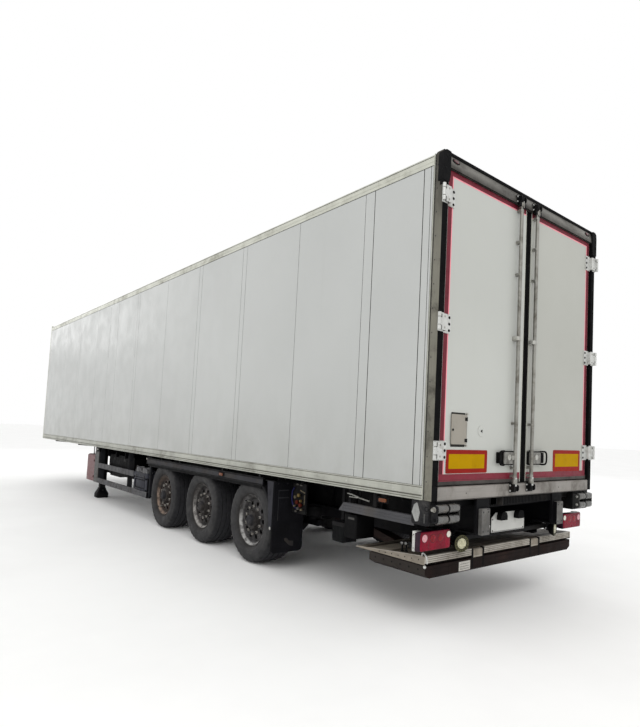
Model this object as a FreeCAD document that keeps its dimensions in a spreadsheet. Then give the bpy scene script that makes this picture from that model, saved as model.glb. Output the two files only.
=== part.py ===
import FreeCAD, Part
import Sketcher
import math
import os
import re

# ---------------------------------------------------------------------------
# Three-axle refrigerated box semi-trailer with a folded tail lift.
# Row frame: +X forward (towards the kingpin), +Y left, +Z up, millimetres,
# origin on the ground under the middle of the overall box.
# Longitudinal stations below are counted forward from the rear frame's face
# and are moved into the row frame by the cell x_origin.
# ---------------------------------------------------------------------------
doc = FreeCAD.newDocument("trailer")
V = FreeCAD.Vector
sheet = doc.addObject("Spreadsheet::Sheet", "Dims")

# alias, value in mm, what it is
CELLS = [
    ("x_origin", 6882, "station of the row frame's origin"),
    ("half_width", 1300, "outer half width of the body"),
    ("body_front", 13400, "station of the front wall's outer face"),
    ("front_thick", 65, "front wall thickness"),
    ("portal_depth", 100, "rear frame depth"),
    ("wall_skin", 1297, "outer face of the side walls"),
    ("wall_thick", 60, "side wall thickness"),
    ("floor_under", 1060, "underside of the floor"),
    ("floor_top", 1200, "loading floor"),
    ("roof_under", 3850, "inner face of the roof"),
    ("roof_top", 3950, "outer face of the roof"),
    ("rail_low_z", 1050, "bottom rail lip"),
    ("rail_low_top", 1165, "bottom rail top"),
    ("rail_up_z", 3807, "top rail underside"),
    ("rail_up_top", 3915, "top rail top"),
    ("post_in", 1222, "inner face of the rear posts"),
    ("sill_top", 1160, "top of the rear sill"),
    ("header_z", 3790, "underside of the rear header"),
    ("door_out", 22, "outer face of the doors"),
    ("door_in", 94, "inner face of the doors"),
    ("door_edge", 1217, "hinge side edge of a door"),
    ("door_gap", 6, "half gap between the doors"),
    ("door_low", 1166, "lower edge of the doors"),
    ("door_high", 3784, "upper edge of the doors"),
    ("pin_x", -24, "hinge pin station"),
    ("pin_y", 1300, "hinge pin half spacing"),
    ("pin_r", 7, "hinge pin radius"),
    ("knuckle_r", 14, "hinge knuckle radius"),
    ("bar_x", -20, "lock bar axis station"),
    ("bar_r", 18, "lock bar radius"),
    ("rail_depth", 63, "depth of the body rails across the width"),
    ("beam_y", 611, "main beam centre"),
    ("beam_flange", 180, "main beam flange width"),
    ("beam_web", 10, "main beam web thickness"),
    ("flange_thick", 14, "main beam flange thickness"),
    ("beam_low", 700, "main beam underside"),
    ("neck_low", 975, "gooseneck underside"),
    ("neck_start", 9900, "station where the neck begins"),
    ("neck_ramp", 500, "length of the slope into the neck"),
    ("beam_rear", 10, "rear end of the main beams"),
    ("beam_front", 13250, "front end of the main beams"),
    ("tyre_r", 485, "tyre radius"),
    ("wheel_y", 1057, "wheel centre plane"),
    ("axle_first", 2890, "rear axle station"),
    ("axle_pitch", 1310, "axle spacing"),
    ("axle_r", 63.5, "axle tube radius"),
    ("axle_end", 1005, "axle tube half length"),
    ("stub_r", 40, "axle stub radius"),
    ("stub_end", 1205, "axle stub half length"),
    ("hub_bore_r", 40.06, "hub bore radius"),
    ("kingpin_x", 11750, "kingpin station"),
    ("plate_under", 967, "underside of the skid plate"),
    ("plate_thick", 8, "skid plate thickness"),
    ("leg_x", 9350, "landing leg station"),
    ("leg_y", 975, "landing leg half spacing"),
    ("lift_half", 1160, "tail lift platform half width"),
    ("tip_half", 1168, "tail lift tip half width"),
    ("lift_rear", 160, "rear edge of the folded tail lift"),
    ("arm_x", 1980, "lift arm upper pin station"),
    ("arm_z", 610, "lift arm upper pin height"),
    ("plat_pin_x", 1150, "platform pin station"),
    ("plat_pin_z", 440, "platform pin height"),
    ("link_x", -22, "tilt cylinder pin ahead of the arm pin"),
    ("link_z", 108, "tilt cylinder pin above the arm pin"),
    ("lift_low", 390, "underside of the folded tail lift"),
    ("roller_x", -12, "dock roller axis station"),
    ("roller_r", 36, "dock roller radius"),
]
for row, (alias, value, note) in enumerate(CELLS, start=1):
    sheet.set("A%d" % row, alias)
    sheet.set("B%d" % row, str(value))
    sheet.set("C%d" % row, note)
    sheet.setAlias("B%d" % row, alias)
doc.recompute()
D = {alias: float(value) for alias, value, note in CELLS}
NAMES = re.compile(r"\b(" + "|".join(sorted(D, key=len, reverse=True)) + r")\b")


def ex(value):
    """A number or a formula in cell names, as a FreeCAD expression."""
    return NAMES.sub(r"Dims.\1", str(value))


def num(value):
    """The same formula as a plain number: + - * / and brackets."""
    tokens = re.findall(r"[a-z_]+|[\d.]+|[-+*/()]", str(value))

    def atom():
        t = tokens.pop(0)
        if t == "(":
            v = total()
            tokens.pop(0)
            return v
        if t == "-":
            return -atom()
        return D[t] if t in D else float(t)

    def product():
        v = atom()
        while tokens and tokens[0] in "*/":
            v = v * atom() if tokens.pop(0) == "*" else v / atom()
        return v

    def total():
        v = product()
        while tokens and tokens[0] in "+-":
            v = v + product() if tokens.pop(0) == "+" else v - product()
        return v

    return total()


count = [0]


def fresh(stem):
    count[0] += 1
    return "%s_%03d" % (stem, count[0])


def at(obj, x, y, z, rot=None):
    """Places an object. x is a station, so the station of the row frame's origin is taken off."""
    if rot is not None:
        obj.Placement = FreeCAD.Placement(V(0, 0, 0), rot)
    obj.setExpression("Placement.Base.x", "%s - Dims.x_origin" % ex(x))
    obj.setExpression("Placement.Base.y", ex(y))
    obj.setExpression("Placement.Base.z", ex(z))
    return obj


def box(x0, x1, y0, y1, z0, z1):
    """A box between two stations, two widths and two heights."""
    o = doc.addObject("Part::Box", fresh("box"))
    o.setExpression("Length", "(%s) - (%s)" % (ex(x1), ex(x0)))
    o.setExpression("Width", "(%s) - (%s)" % (ex(y1), ex(y0)))
    o.setExpression("Height", "(%s) - (%s)" % (ex(z1), ex(z0)))
    return at(o, x0, y0, z0)


def sided(side, a, b):
    """A pair of widths on the left (+1) or right (-1), lowest first."""
    return (a, b) if side > 0 else ("-(%s)" % b, "-(%s)" % a)


ALONG = {"Z": None, "Y": FreeCAD.Rotation(V(1, 0, 0), -90), "X": FreeCAD.Rotation(V(0, 1, 0), 90)}


def cyl(axis, x, y, z, radius, length):
    """A cylinder from its start point along an axis."""
    o = doc.addObject("Part::Cylinder", fresh("cyl"))
    o.setExpression("Radius", ex(radius))
    o.setExpression("Height", ex(length))
    return at(o, x, y, z, ALONG[axis])


def fuse(parts):
    o = doc.addObject("Part::MultiFuse", fresh("fuse"))
    o.Shapes = parts
    o.Refine = True
    return o


def cut(base, tool):
    o = doc.addObject("Part::Cut", fresh("cut"))
    o.Base = base
    o.Tool = tool
    o.Refine = True
    return o


def group(parts):
    """Like pieces on one body that don't touch each other."""
    o = doc.addObject("Part::Compound", fresh("group"))
    o.Links = parts
    return o


def outline(sketch, points):
    """A closed outline. Each corner (across, up) is a formula, dimensioned from the sketch's origin."""
    n = len(points)
    vals = [(num(a), num(b)) for a, b in points]
    for i in range(n):
        a, b = vals[i], vals[(i + 1) % n]
        sketch.addGeometry(Part.LineSegment(V(a[0], a[1], 0), V(b[0], b[1], 0)), False)
    for i in range(n):
        sketch.addConstraint(Sketcher.Constraint("Coincident", i, 2, (i + 1) % n, 1))
    for i, (a, b) in enumerate(points):
        for kind, text, v in (("DistanceX", a, vals[i][0]), ("DistanceY", b, vals[i][1])):
            if abs(v) < 1e-9:
                sketch.addConstraint(Sketcher.Constraint("PointOnObject", i, 1, -2 if kind == "DistanceX" else -1))
                continue
            k = sketch.addConstraint(Sketcher.Constraint(kind, -1, 1, i, 1, v))
            name = "p%d_%s" % (i, kind[-1].lower())
            sketch.renameConstraint(k, name)
            if NAMES.search(str(text)):
                sketch.setExpression("Constraints.%s" % name, ex(text))


def sketched(role, points):
    """A body with a closed outline on one of its origin planes."""
    body = doc.addObject("PartDesign::Body", fresh("body"))
    sk = body.newObject("Sketcher::SketchObject", fresh("sketch"))
    sk.AttachmentSupport = (next(f for f in body.Origin.OriginFeatures if f.Role == role), "")
    sk.MapMode = "FlatFace"
    outline(sk, points)
    return body, sk


def padded(role, points, length, mid=False):
    body, sk = sketched(role, points)
    pad = body.newObject("PartDesign::Pad", fresh("pad"))
    pad.Profile = sk
    pad.setExpression("Length", ex(length))
    if mid:
        pad.SideType = "Symmetric"
    body.Tip = pad
    return body


def turned(points):
    """A body turned about its own Y axis; corners are (across, radius)."""
    body, sk = sketched("YZ_Plane", points)
    rev = body.newObject("PartDesign::Revolution", fresh("revolution"))
    rev.Profile = sk
    rev.ReferenceAxis = (sk, ["H_Axis"])
    rev.Angle = 360
    body.Tip = rev
    return body


SIDES = [("left", 1), ("right", -1)]
OUT = []


def node(name, obj):
    obj.Label = name
    OUT.append((name, obj))
    return obj


# ------------------------------------------------------------ insulated body
node("floor_panel", box("portal_depth", "body_front - front_thick", "-(wall_skin - wall_thick)", "wall_skin - wall_thick", "floor_under", "floor_top"))
for name, s in SIDES:
    y0, y1 = sided(s, "wall_skin - wall_thick", "wall_skin")
    node("side_wall_" + name, box("portal_depth", "body_front - front_thick", y0, y1, "rail_low_top", "rail_up_z"))
node("front_wall", box("body_front - front_thick", "body_front", "-wall_skin", "wall_skin", "floor_under", "roof_top - 12"))

# roof: flat panel whose outer edges slope down to the top rails
node("roof_panel", at(padded("YZ_Plane", [
    ("-wall_skin + wall_thick", "roof_under"), ("wall_skin - wall_thick", "roof_under"),
    ("wall_skin - wall_thick", "rail_up_top"), ("wall_skin - wall_thick - 90", "roof_top"),
    ("-wall_skin + wall_thick + 90", "roof_top"), ("-wall_skin + wall_thick", "rail_up_top"),
], "body_front - front_thick - portal_depth"), "portal_depth", 0, 0))

# body rails: node, section corners as (distance in from the outer face, height)
RAILS = [
    ("top_rails", [("rail_depth", "rail_up_z"), ("0", "rail_up_z"), ("0", "rail_up_top - 22"), ("22", "rail_up_top"), ("rail_depth", "rail_up_top")]),
    ("bottom_rails", [("rail_depth", "rail_low_z"), ("0", "rail_low_z"), ("0", "rail_low_top"), ("rail_depth", "rail_low_top")]),
]
for rail, corners in RAILS:
    pair = []
    for name, s in SIDES:
        pts = [("half_width - " + a if s > 0 else "-half_width + " + a, b) for a, b in corners]
        pair.append(at(padded("YZ_Plane", pts, "body_front - front_thick - portal_depth"), "portal_depth", 0, 0))
    node(rail, group(pair))

# rear frame: posts with their rubber corner caps, header with a sloped face, sill
posts = []
for name, s in SIDES:
    y0, y1 = sided(s, "post_in", "wall_skin")
    post = box(0, "portal_depth", y0, y1, "rail_low_z", "rail_up_top")
    y0, y1 = sided(s, "wall_skin - 55", "wall_skin + 9")
    posts.append(fuse([post, box(-12, 42, y0, y1, 3660, "rail_up_top + 4")]))
node("rear_posts", group(posts))

# lock bars: side, sign, width of the bar's axis; keeper cheeks stand either side of each bar
BARS = [("left", 1, 190), ("right", -1, -82)]
CHEEK = [-40, 28]            # start of each cheek from the bar's axis, 12 thick
header = at(padded("XZ_Plane", [
    ("0", "header_z"), ("portal_depth", "header_z"), ("portal_depth", "roof_top - 14"), ("34", "roof_top - 14"), ("24", "rail_up_top - 12"),
], "2 * post_in", mid=True), 0, 0, 0)
low_sill = box(0, "portal_depth", "-post_in", "post_in", "floor_under", "sill_top")
node("rear_header", fuse([header] + [box(-46, 16, y + d, y + d + 12, 3804, 3864) for n, s, y in BARS for d in CHEEK]))
node("rear_sill", fuse([low_sill] + [box(-46, 0, y + d, y + d + 12, 1090, 1152) for n, s, y in BARS for d in CHEEK]))

# fixed halves of the door hinges: a plate on the post's rear face with two ears and their knuckles, and the pin
HINGE_Z = [1452, 2489, 3550]
fixed = []
for name, s in SIDES:
    yp = "pin_y" if s > 0 else "-pin_y"
    for z in HINGE_Z:
        y0, y1 = sided(s, 1228, 1296)
        half = [box(-6, 0, y0, y1, z - 78, z + 78)]
        for z0 in (z - 71, z + 36):
            y0, y1 = sided(s, 1286, "pin_y")
            half.append(box("pin_x", 0, y0, y1, z0, z0 + 35))
            half.append(cyl("Z", "pin_x", yp, z0, "knuckle_r", 35))
        half.append(cyl("Z", "pin_x", yp, z - 36, "pin_r", 72))
        fixed.append(fuse(half))
node("hinge_brackets", group(fixed))

# ----------------------------------------------------------------- rear doors
for name, s in SIDES:
    y0, y1 = sided(s, "door_gap", "door_edge")
    panel = box("door_out", "door_in", y0, y1, "door_low", "door_high")
    if s > 0:
        panel = cut(panel, box(8, 68, 882, 1060, 1486, 1768))
        lugs = [panel]
        for z0 in (1489, 1759):
            lugs.append(box(6, "door_out", 858, 874, z0, z0 + 10))
        lugs.append(cyl("Z", 12, 866, 1495, 3, 12))
        lugs.append(cyl("Z", 12, 866, 1751, 3, 12))
        panel = fuse(lugs)
    leaves = []
    for z in HINGE_Z:
        # door plate, web out of the recess, front plate and the arm of the knuckle
        y0, y1 = sided(s, 1118, 1212)
        leaf = box(14, "door_out", y0, y1, z - 80, z + 80)
        y0, y1 = sided(s, 1200, 1212)
        web = box(-22, "door_out", y0, y1, z - 70, z + 70)
        y0, y1 = sided(s, 1200, 1264)
        face = box(-22, -12, y0, y1, z - 68, z + 68)
        y0, y1 = sided(s, 1260, "pin_y")
        arm = box(-22, -12, y0, y1, z - 30, z + 30)
        yp = "pin_y" if s > 0 else "-pin_y"
        leaves.append(cut(fuse([leaf, web, face, arm, cyl("Z", "pin_x", yp, z - 30, "knuckle_r", 60)]), cyl("Z", "pin_x", yp, z - 40, "pin_r + 0.05", 80)))
    node("rear_door_" + name, fuse([panel] + leaves))

node("door_hatch", cut(
    fuse([box(8, 16, 872, 1070, 1503, 1757), cyl("Z", 12, 866, 1503, 7, 254)]),
    fuse([cyl("Z", 12, 866, 1500, 3.05, 10), cyl("Z", 12, 866, 1750, 3.05, 10)])))

# lock bars with their guides, cams and folded handle: guide heights
GUIDES = [(1205, 80), (1700, 44), (2483, 44), (3100, 44), (3410, 44), (3700, 78)]
for name, s, y in BARS:
    parts = [cyl("Z", "bar_x", y, 1098, "bar_r", 2754)]
    parts.append(box(-38, -4, y - 18, y + 18, 1096, 1146))
    parts.append(box(-38, -4, y - 18, y + 18, 3810, 3858))
    for z, h in GUIDES:
        parts.append(box(-38, "door_out", y - 30, y + 30, z, z + h))
    h0, h1 = (y + 10, y + 280) if s > 0 else (y - 280, y - 10)
    parts.append(box(-42, -22, h0, h1, 1380, 1412))
    c0, c1 = (y + 200, y + 270) if s > 0 else (y - 270, y - 200)
    parts.append(box(-24, "door_out", c0, c1, 1360, 1432))
    node("lock_bar_" + name, fuse(parts))

# -------------------------------------------------------- refrigeration unit
node("refrigeration_unit", at(padded("XZ_Plane", [
    ("0", "1780"), ("320", "1780"), ("412", "1900"), ("412", "3600"), ("330", "3760"), ("0", "3760"),
], "2060", mid=True), "body_front", 0, 0))

# ----------------------------------------------------------------- underframe
# main beams: a side outline stepped up into the neck, cut on both sides to an I section
for name, s in SIDES:
    sign = "" if s > 0 else "-"
    body = at(padded("XZ_Plane", [
        ("beam_rear", "beam_low + 35"), ("beam_rear + 220", "beam_low + 35"), ("beam_rear + 246", "beam_low"),
        ("neck_start - neck_ramp", "beam_low"), ("neck_start", "neck_low"),
        ("beam_front", "neck_low"), ("beam_front", "floor_under"), ("beam_rear", "floor_under"),
    ], "beam_flange", mid=True), 0, sign + "beam_y", 0)
    for k in ("+", "-"):
        pocket = at(padded("XZ_Plane", [
            ("beam_rear + 24", "beam_low + 35 + flange_thick"), ("beam_rear + 224", "beam_low + 35 + flange_thick"), ("beam_rear + 250", "beam_low + flange_thick"),
            ("neck_start - neck_ramp - 4", "beam_low + flange_thick"),
            ("neck_start - 8", "neck_low + flange_thick"), ("beam_front - 20", "neck_low + flange_thick"),
            ("beam_front - 20", "floor_under - flange_thick"), ("beam_rear + 24", "floor_under - flange_thick"),
        ], "beam_flange / 2", mid=True), 0, "%sbeam_y %s (beam_web / 2 + beam_flange / 4)" % (sign, k), 0)
        body = cut(body, pocket)
    # rubber faced block on the beam's rear end
    body = fuse([body, box("beam_rear - 35", "beam_rear + 24", sign + "beam_y - 56", sign + "beam_y + 56", "beam_low + 35", 957)])
    node("chassis_beam_" + name, body)

# cross bars between the beam webs: station, underside, length along the trailer
CROSS = [(120, 940, 60), (1420, 900, 60), (2240, 900, 60), (3545, 900, 60), (4855, 900, 60), (6200, 900, 60), (7400, 900, 60), (8600, 900, 60),
         (10400, 991, 50), (11000, 991, 50), (12500, 991, 50), (13000, 991, 50)]
bars = [box(x, x + w, "-beam_y + beam_web / 2", "beam_y - beam_web / 2", z, "floor_under - flange_thick") for x, z, w in CROSS]
# outriggers from the beams' flanges towards the bottom rails
OUTRIGGERS = [400, 1480, 2200, 3540, 4850, 6160, 7165, 8000, 8860, 10400, 12400]
wings = []
for x in OUTRIGGERS:
    for name, s in SIDES:
        inner, tip = "beam_y + beam_flange / 2", "1212"
        pts = [(inner, "floor_under - 90"), (tip, "floor_under - 45"), (tip, "floor_under"), (inner, "floor_under")]
        if s < 0:
            pts = [("-beam_y - beam_flange / 2" if a == inner else "-1212", b) for a, b in pts]
        wings.append(at(padded("YZ_Plane", pts, "10"), x, 0, 0))
# step bar on two hangers under the sill and the junction block beside it
step = fuse([box(30, 100, -519, 305, 968, 1042)] + [box(50, 80, y, y + 30, 1035, "floor_under") for y in (-420, 180)])
junction = fuse([box(16, 85, 404, 505, 982, 1040), box(50, 80, 430, 480, 1030, "floor_under")])
node("cross_members", group(bars + wings + [step, junction]))

# skid plate and kingpin: 2 inch pin with collar, neck and lower head
node("skid_plate", fuse([
    box("kingpin_x - 900", "beam_front", -640, 640, "plate_under", "plate_under + plate_thick"),
    cyl("Z", "kingpin_x", 0, "plate_under - 32", 36.5, 60),
    cyl("Z", "kingpin_x", 0, "plate_under - 70", 25.4, 40),
    cyl("Z", "kingpin_x", 0, "plate_under - 84", 35.7, 15),
    box("kingpin_x - 300", "kingpin_x + 300", -300, 300, "plate_under + plate_thick", "neck_low + 34"),
]))

# landing gear: square legs with an inner tube and foot, gussets to the beams, and the shaft and brace that join them
legs = []
for name, s in SIDES:
    y = "leg_y" if s > 0 else "-leg_y"
    legs.append(fuse([
        box("leg_x - 65", "leg_x + 65", y + " - 65", y + " + 65", 300, "floor_under"),
        box("leg_x - 54", "leg_x + 54", y + " - 54", y + " + 54", 60, 310),
        box("leg_x - 78", "leg_x + 78", y + " - 78", y + " + 78", 120, 170),
        box("leg_x - 98", "leg_x + 98", y + " - 98", y + " + 98", 70, 120),
        box("leg_x - 115", "leg_x + 115", y + " - 115", y + " + 115", 0, 70),
    ] + [
        box("leg_x + %d" % dx, "leg_x + %d" % (dx + 10), *sided(s, "beam_y + beam_flange / 2", "leg_y - 65"), 740, "floor_under") for dx in (-62, 52)
    ]))
node("landing_legs", fuse(legs + [
    cyl("Y", "leg_x", "-leg_y + 65", 640, 17, "2 * (leg_y - 65)"),
    box("leg_x + 22", "leg_x + 52", "-leg_y + 65", "leg_y - 65", 500, 560),
]))

# side guards: side, start, end, underside, height, inner width, outer width
GUARD = [
    (1, 6766, 8735, 652, 92, 1222, 1250), (1, 6130, 8735, 363, 92, 1222, 1250),
    (-1, 6130, 8735, 652, 92, 1222, 1250), (-1, 6130, 8735, 363, 92, 1222, 1250),
    (1, 215, 1165, 830, 75, 1214, 1250), (-1, 215, 1165, 830, 75, 1214, 1250),
]
POSTS = [  # side, start, end, underside, inner width, outer width
    (1, 8735, 8985, 360, 1236, 1250), (1, 8900, 8985, 360, 1150, 1236), (1, 8690, 8730, 363, 1150, 1222), (1, 7100, 7145, 363, 1150, 1222), (1, 6095, 6135, 363, 1190, 1222),
    (-1, 8735, 8985, 360, 1236, 1250), (-1, 8900, 8985, 360, 1150, 1236), (-1, 8690, 8730, 363, 1150, 1222), (-1, 7600, 7645, 363, 1150, 1222), (-1, 6085, 6130, 363, 1150, 1250),
    (1, 700, 745, 900, 1180, 1236), (-1, 700, 745, 900, 1180, 1236),
]
def guard_set(first, last, side):
    """The rails and posts of one side between two stations."""
    rails = [box(x0, x1, *sided(s, ya, yb), z, z + dz) for s, x0, x1, z, dz, ya, yb in GUARD if s == side and first <= x0 < last]
    posts = [box(x0, x1, *sided(s, ya, yb), z, "rail_low_z" if yb > 1236 else "floor_under") for s, x0, x1, z, ya, yb in POSTS if s == side and first <= x0 < last]
    return fuse(rails + posts)


node("side_guards", group([guard_set(a, b, s) for name, s in SIDES for a, b in ((0, 3000), (3000, 12000))]))
# boxes hung on straps from the floor: node, start, end, inner width, outer width, underside, top, straps' stations, straps' width
BOXES = [
    ("tool_box", 6140, 6760, 800, 1215, 365, 745, (6200, 6640), 1000),
    ("extinguisher_box", 9020, 9520, 1090, 1236, 355, 885, (9110, 9380), 1150),
    ("battery_box", 1175, 1365, 1035, 1205, 515, 700, (1205, 1300), 1100),
]
# what is joined to a box: the tool box's lid and door frame, the switch box behind the battery
JOINED = {"tool_box": (6140, 6760, 1215, 1248, 462, 745), "battery_box": (990, 1175, 980, 1203, 575, 800)}
for name, x0, x1, y0, y1, z0, z1, straps_x, ys in BOXES:
    more = [box(*JOINED[name])] if name in JOINED else []
    if name == "battery_box":
        more.append(box(1060, 1100, 1100, 1108, 790, "floor_under"))
    node(name, fuse([box(x0, x1, y0, y1, z0, z1)] + more + [box(x, x + 40, ys, ys + 8, z1 - 10, "floor_under") for x in straps_x]))

# stowage box between the landing gear and the tool box, its underside stepped
node("stowage_box", fuse([box(7180, 8560, 740, 1120, 560, 940), box(7900, 8480, 760, 1120, 530, 600)] + [box(x, x + 40, 900, 908, 930, "floor_under") for x in (7320, 8380)]))

# mudguard rails above the wheels and flaps behind them
guards = []
for name, s in SIDES:
    y0, y1 = sided(s, 1260, 1284)
    guards.append(fuse([box(2560, 6120, y0, y1, 915, 1010)] + [box(x, x + 40, y0, y1, 1000, "rail_low_z") for x in (2620, 3530, 4840, 6020)]))
node("mudguard_rails", group(guards))
flaps = []
for name, s in SIDES:
    y0, y1 = sided(s, 868, 1232)
    y2, y3 = sided(s, 868, 1268)
    flaps.append(fuse([box(2325, 2340, y2, y3, 205, 992), box(2325, 2525, y2, y3, 980, 992), box(2325, 2340, y0, y1, 980, "floor_under")]))
node("mud_flaps", group(flaps))

# --------------------------------------------------------------- running gear
AXLES = [("rear", 0), ("middle", 1), ("front", 2)]      # name, pitches ahead of the rear axle
beams, trailing, springs = [], [], []
for name, k in AXLES:
    x = "axle_first + %d * axle_pitch" % k
    beams.append(fuse([
        cyl("Y", x, "-axle_end", "tyre_r", "axle_r", "2 * axle_end"),
        cyl("Y", x, "-stub_end", "tyre_r", "stub_r", "2 * stub_end"),
    ]))
    for side, s in SIDES:
        y = "beam_y" if s > 0 else "-beam_y"
        hanger = cut(box(x + " + 470", x + " + 650", y + " - 65", y + " + 65", 335, "beam_low"),
                     box(x + " + 460", x + " + 660", y + " - 52", y + " + 52", 320, 640))
        trailing.append(fuse([
            at(padded("XZ_Plane", [
                (x + " - 560", "455"), (x + " - 290", "455"), (x + " - 160", "345"), (x + " + 560", "345"),
                (x + " + 560", "415"), (x + " - 130", "415"), (x + " - 262", "525"), (x + " - 560", "525"),
            ], "90", mid=True), 0, y, 0),
            box(x + " - 90", x + " + 90", y + " - 60", y + " + 60", 345, 421),
            cyl("Y", x + " + 560", y + " - 45", 385, 45, 90),
            cyl("Y", x + " + 560", y + " - 75", 385, 20, 150),
            hanger,
        ]))
        springs.append(cyl("Z", x + " - 420", y, 525, 145, "beam_low - 525"))
node("axle_beams", group(beams))
node("trailing_arms", group(trailing))
node("air_springs", group(springs))
node("air_tanks", group([fuse([cyl("X", 6500, y, 830, 130, 850)] + [box(x, x + 40, y - 5, y + 5, 950, "floor_under") for x in (6660, 7150)]) for y in (300, -300)]))

# wheels: sections turned about the axle, outer side towards +Y: (across, radius)
TYRE = [
    (147, 288), (147, 306), (172, 322), (186, 350), (192, 385), (186, 430), (172, 464), (152, 478), (75, 485), (-75, 485), (-152, 478), (-172, 464),
    (-186, 430), (-192, 385), (-186, 350), (-172, 322), (-147, 306), (-147, 288), (-126, 288), (-126, 312), (-158, 345), (-168, 385), (-160, 425), (-140, 455),
    (140, 455), (160, 425), (168, 385), (158, 345), (126, 312), (126, 288),
]
RIM = [
    (164, 303), (149, 303), (149, 287), (-149, 287), (-149, 303), (-164, 303), (-160, 272), (-140, 266), (70, 262), (84, 248), (84, 108), (-46, 108),
    (-46, "hub_bore_r"), (152, "hub_bore_r"), (152, 0), (196, 0), (196, 60), (188, 92), (150, 128), (112, 132), (112, 250), (125, 262), (150, 268), (160, 272),
]
for side, s in SIDES:
    for name, k in AXLES:
        x = "axle_first + %d * axle_pitch" % k
        y = "wheel_y" if s > 0 else "-wheel_y"
        turn = None if s > 0 else FreeCAD.Rotation(V(0, 0, 1), 180)
        node("tyre_%s_%s" % (name, side), at(turned([(str(a), str(r)) for a, r in TYRE]), x, y, "tyre_r", turn))
        rim = at(turned([(str(a), str(r)) for a, r in RIM]), x, y, "tyre_r", turn)
        holes = []
        for i in range(10):
            a = math.radians(36 * i)
            holes.append(cyl("Y", "%s + (%.4f)" % (x, 196 * math.cos(a)), "wheel_y + 70" if s > 0 else "-wheel_y - 130", "tyre_r + (%.4f)" % (196 * math.sin(a)), 27, 60))
        node("rim_%s_%s" % (name, side), cut(rim, fuse(holes)))

# --------------------------------------------------------------- rear details
# dock buffers: a housing a side whose three cheeks carry the roller pins
ROWS = [("upper", 989), ("lower", 905)]
housings = []
for side, s in SIDES:
    y0, y1 = sided(s, 965, 1292)
    parts = [box(32, 215, y0, y1, 848, "rail_low_z")]
    for c in (978, 1114, 1250):
        y0, y1 = sided(s, c, c + 8)
        parts.append(box(-38, 40, y0, y1, 876, 1018))
    housings.append(cut(fuse(parts), group([cyl("Y", "roller_x", 950 if s > 0 else -1310, z, 8.05, 360) for n, z in ROWS])))
node("dock_buffer_housings", group(housings))
for side, s in SIDES:
    for n, z in ROWS:
        parts = [cyl("Y", "roller_x", 973 if s > 0 else -1263, z, 8, 290)]
        for a in (991, 1127):
            parts.append(cyl("Y", "roller_x", a if s > 0 else -(a + 118), z, "roller_r", 118))
        node("dock_rollers_%s_%s" % (n, side), fuse(parts))

node("tail_lamps", group([box(100, 192, *sided(s, 915, 1292), 632, 796) for n, s in SIDES]))
# lamp bar with the number plate holder
node("lamp_bar", fuse([
    box(192, 236, -1290, 1290, 655, "beam_low"), box(171, 192, -60, 60, 690, "beam_low"),
    at(padded("YZ_Plane", [("-270", "690"), ("270", "690"), ("270", "826"), ("205", "874"), ("-205", "874"), ("-270", "826")], "6"), 165, 0, 0),
]))

# ------------------------------------------------------------------ tail lift
# fixed slide rails under the main beams, open towards the middle
slides = []
for side, s in SIDES:
    slides.append(cut(box(260, 2230, *sided(s, 575, 665), 600, "beam_low"), box(250, 2240, *sided(s, 570, 650), 614, 686)))
node("lift_slide_rails", group(slides))

# sliding carriage: shoes in the rails, cross tube, cheeks that hold the arms' pins
carriage = [box("arm_x + 50", "arm_x + 150", -560, 560, 560, 660)]
for side, s in SIDES:
    carriage.append(box("arm_x - 230", "arm_x + 180", *sided(s, 552, 642), 620, 680))
    for a in (374, 538):
        carriage.append(box("arm_x - 40", "arm_x + 60", *sided(s, a, a + 14), 570, 660))
    carriage.append(cyl("Y", "arm_x", 374 if s > 0 else -552, "arm_z", 20, 178))
    for a in (258, 330):
        y0, y1 = sided(s, a, a + 12)
        carriage.append(at(padded("XZ_Plane", [
            ("arm_x - 62", "arm_z + 84"), ("arm_x + 55", "arm_z - 20"), ("arm_x + 120", "arm_z - 20"), ("arm_x + 120", "arm_z + 45"), ("arm_x + 8", "arm_z + 142"), ("arm_x - 50", "arm_z + 142"), ("arm_x - 62", "arm_z + 130"),
        ], "12", mid=True), 0, (a + 6) * s, 0))
    carriage.append(cyl("Y", "arm_x + link_x", 258 if s > 0 else -342, "arm_z + link_z", 15, 84))
node("lift_carriage", fuse(carriage))

# arms: from the carriage's pins down and back to the platform's pins
rise = D["arm_z"] - D["plat_pin_z"]
run = D["arm_x"] - D["plat_pin_x"]
slope = math.degrees(math.atan2(rise, run))
reach = math.hypot(rise, run)
arm_parts, bores = [], []
for side, s in SIDES:
    y0 = 398 if s > 0 else -528
    o = doc.addObject("Part::Box", fresh("box"))
    o.Length = reach
    o.Width = 130
    o.Height = 76
    turn = FreeCAD.Rotation(V(0, 1, 0), -slope)
    low = turn.multVec(V(0, 0, -38))
    o.Placement = FreeCAD.Placement(V(D["plat_pin_x"] - D["x_origin"] + low.x, y0, D["plat_pin_z"] + low.z), turn)
    arm_parts.append(o)
    for px, pz in (("arm_x", "arm_z"), ("plat_pin_x", "plat_pin_z")):
        arm_parts.append(cyl("Y", px, y0, pz, 38, 130))
        bores.append(cyl("Y", px, y0 - 5, pz, 20.05, 140))
arm_parts.append(cyl("Y", "(arm_x + plat_pin_x) / 2", -400, "(arm_z + plat_pin_z) / 2", 36, 800))
node("lift_arms", cut(fuse(arm_parts), group(bores)))

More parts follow.
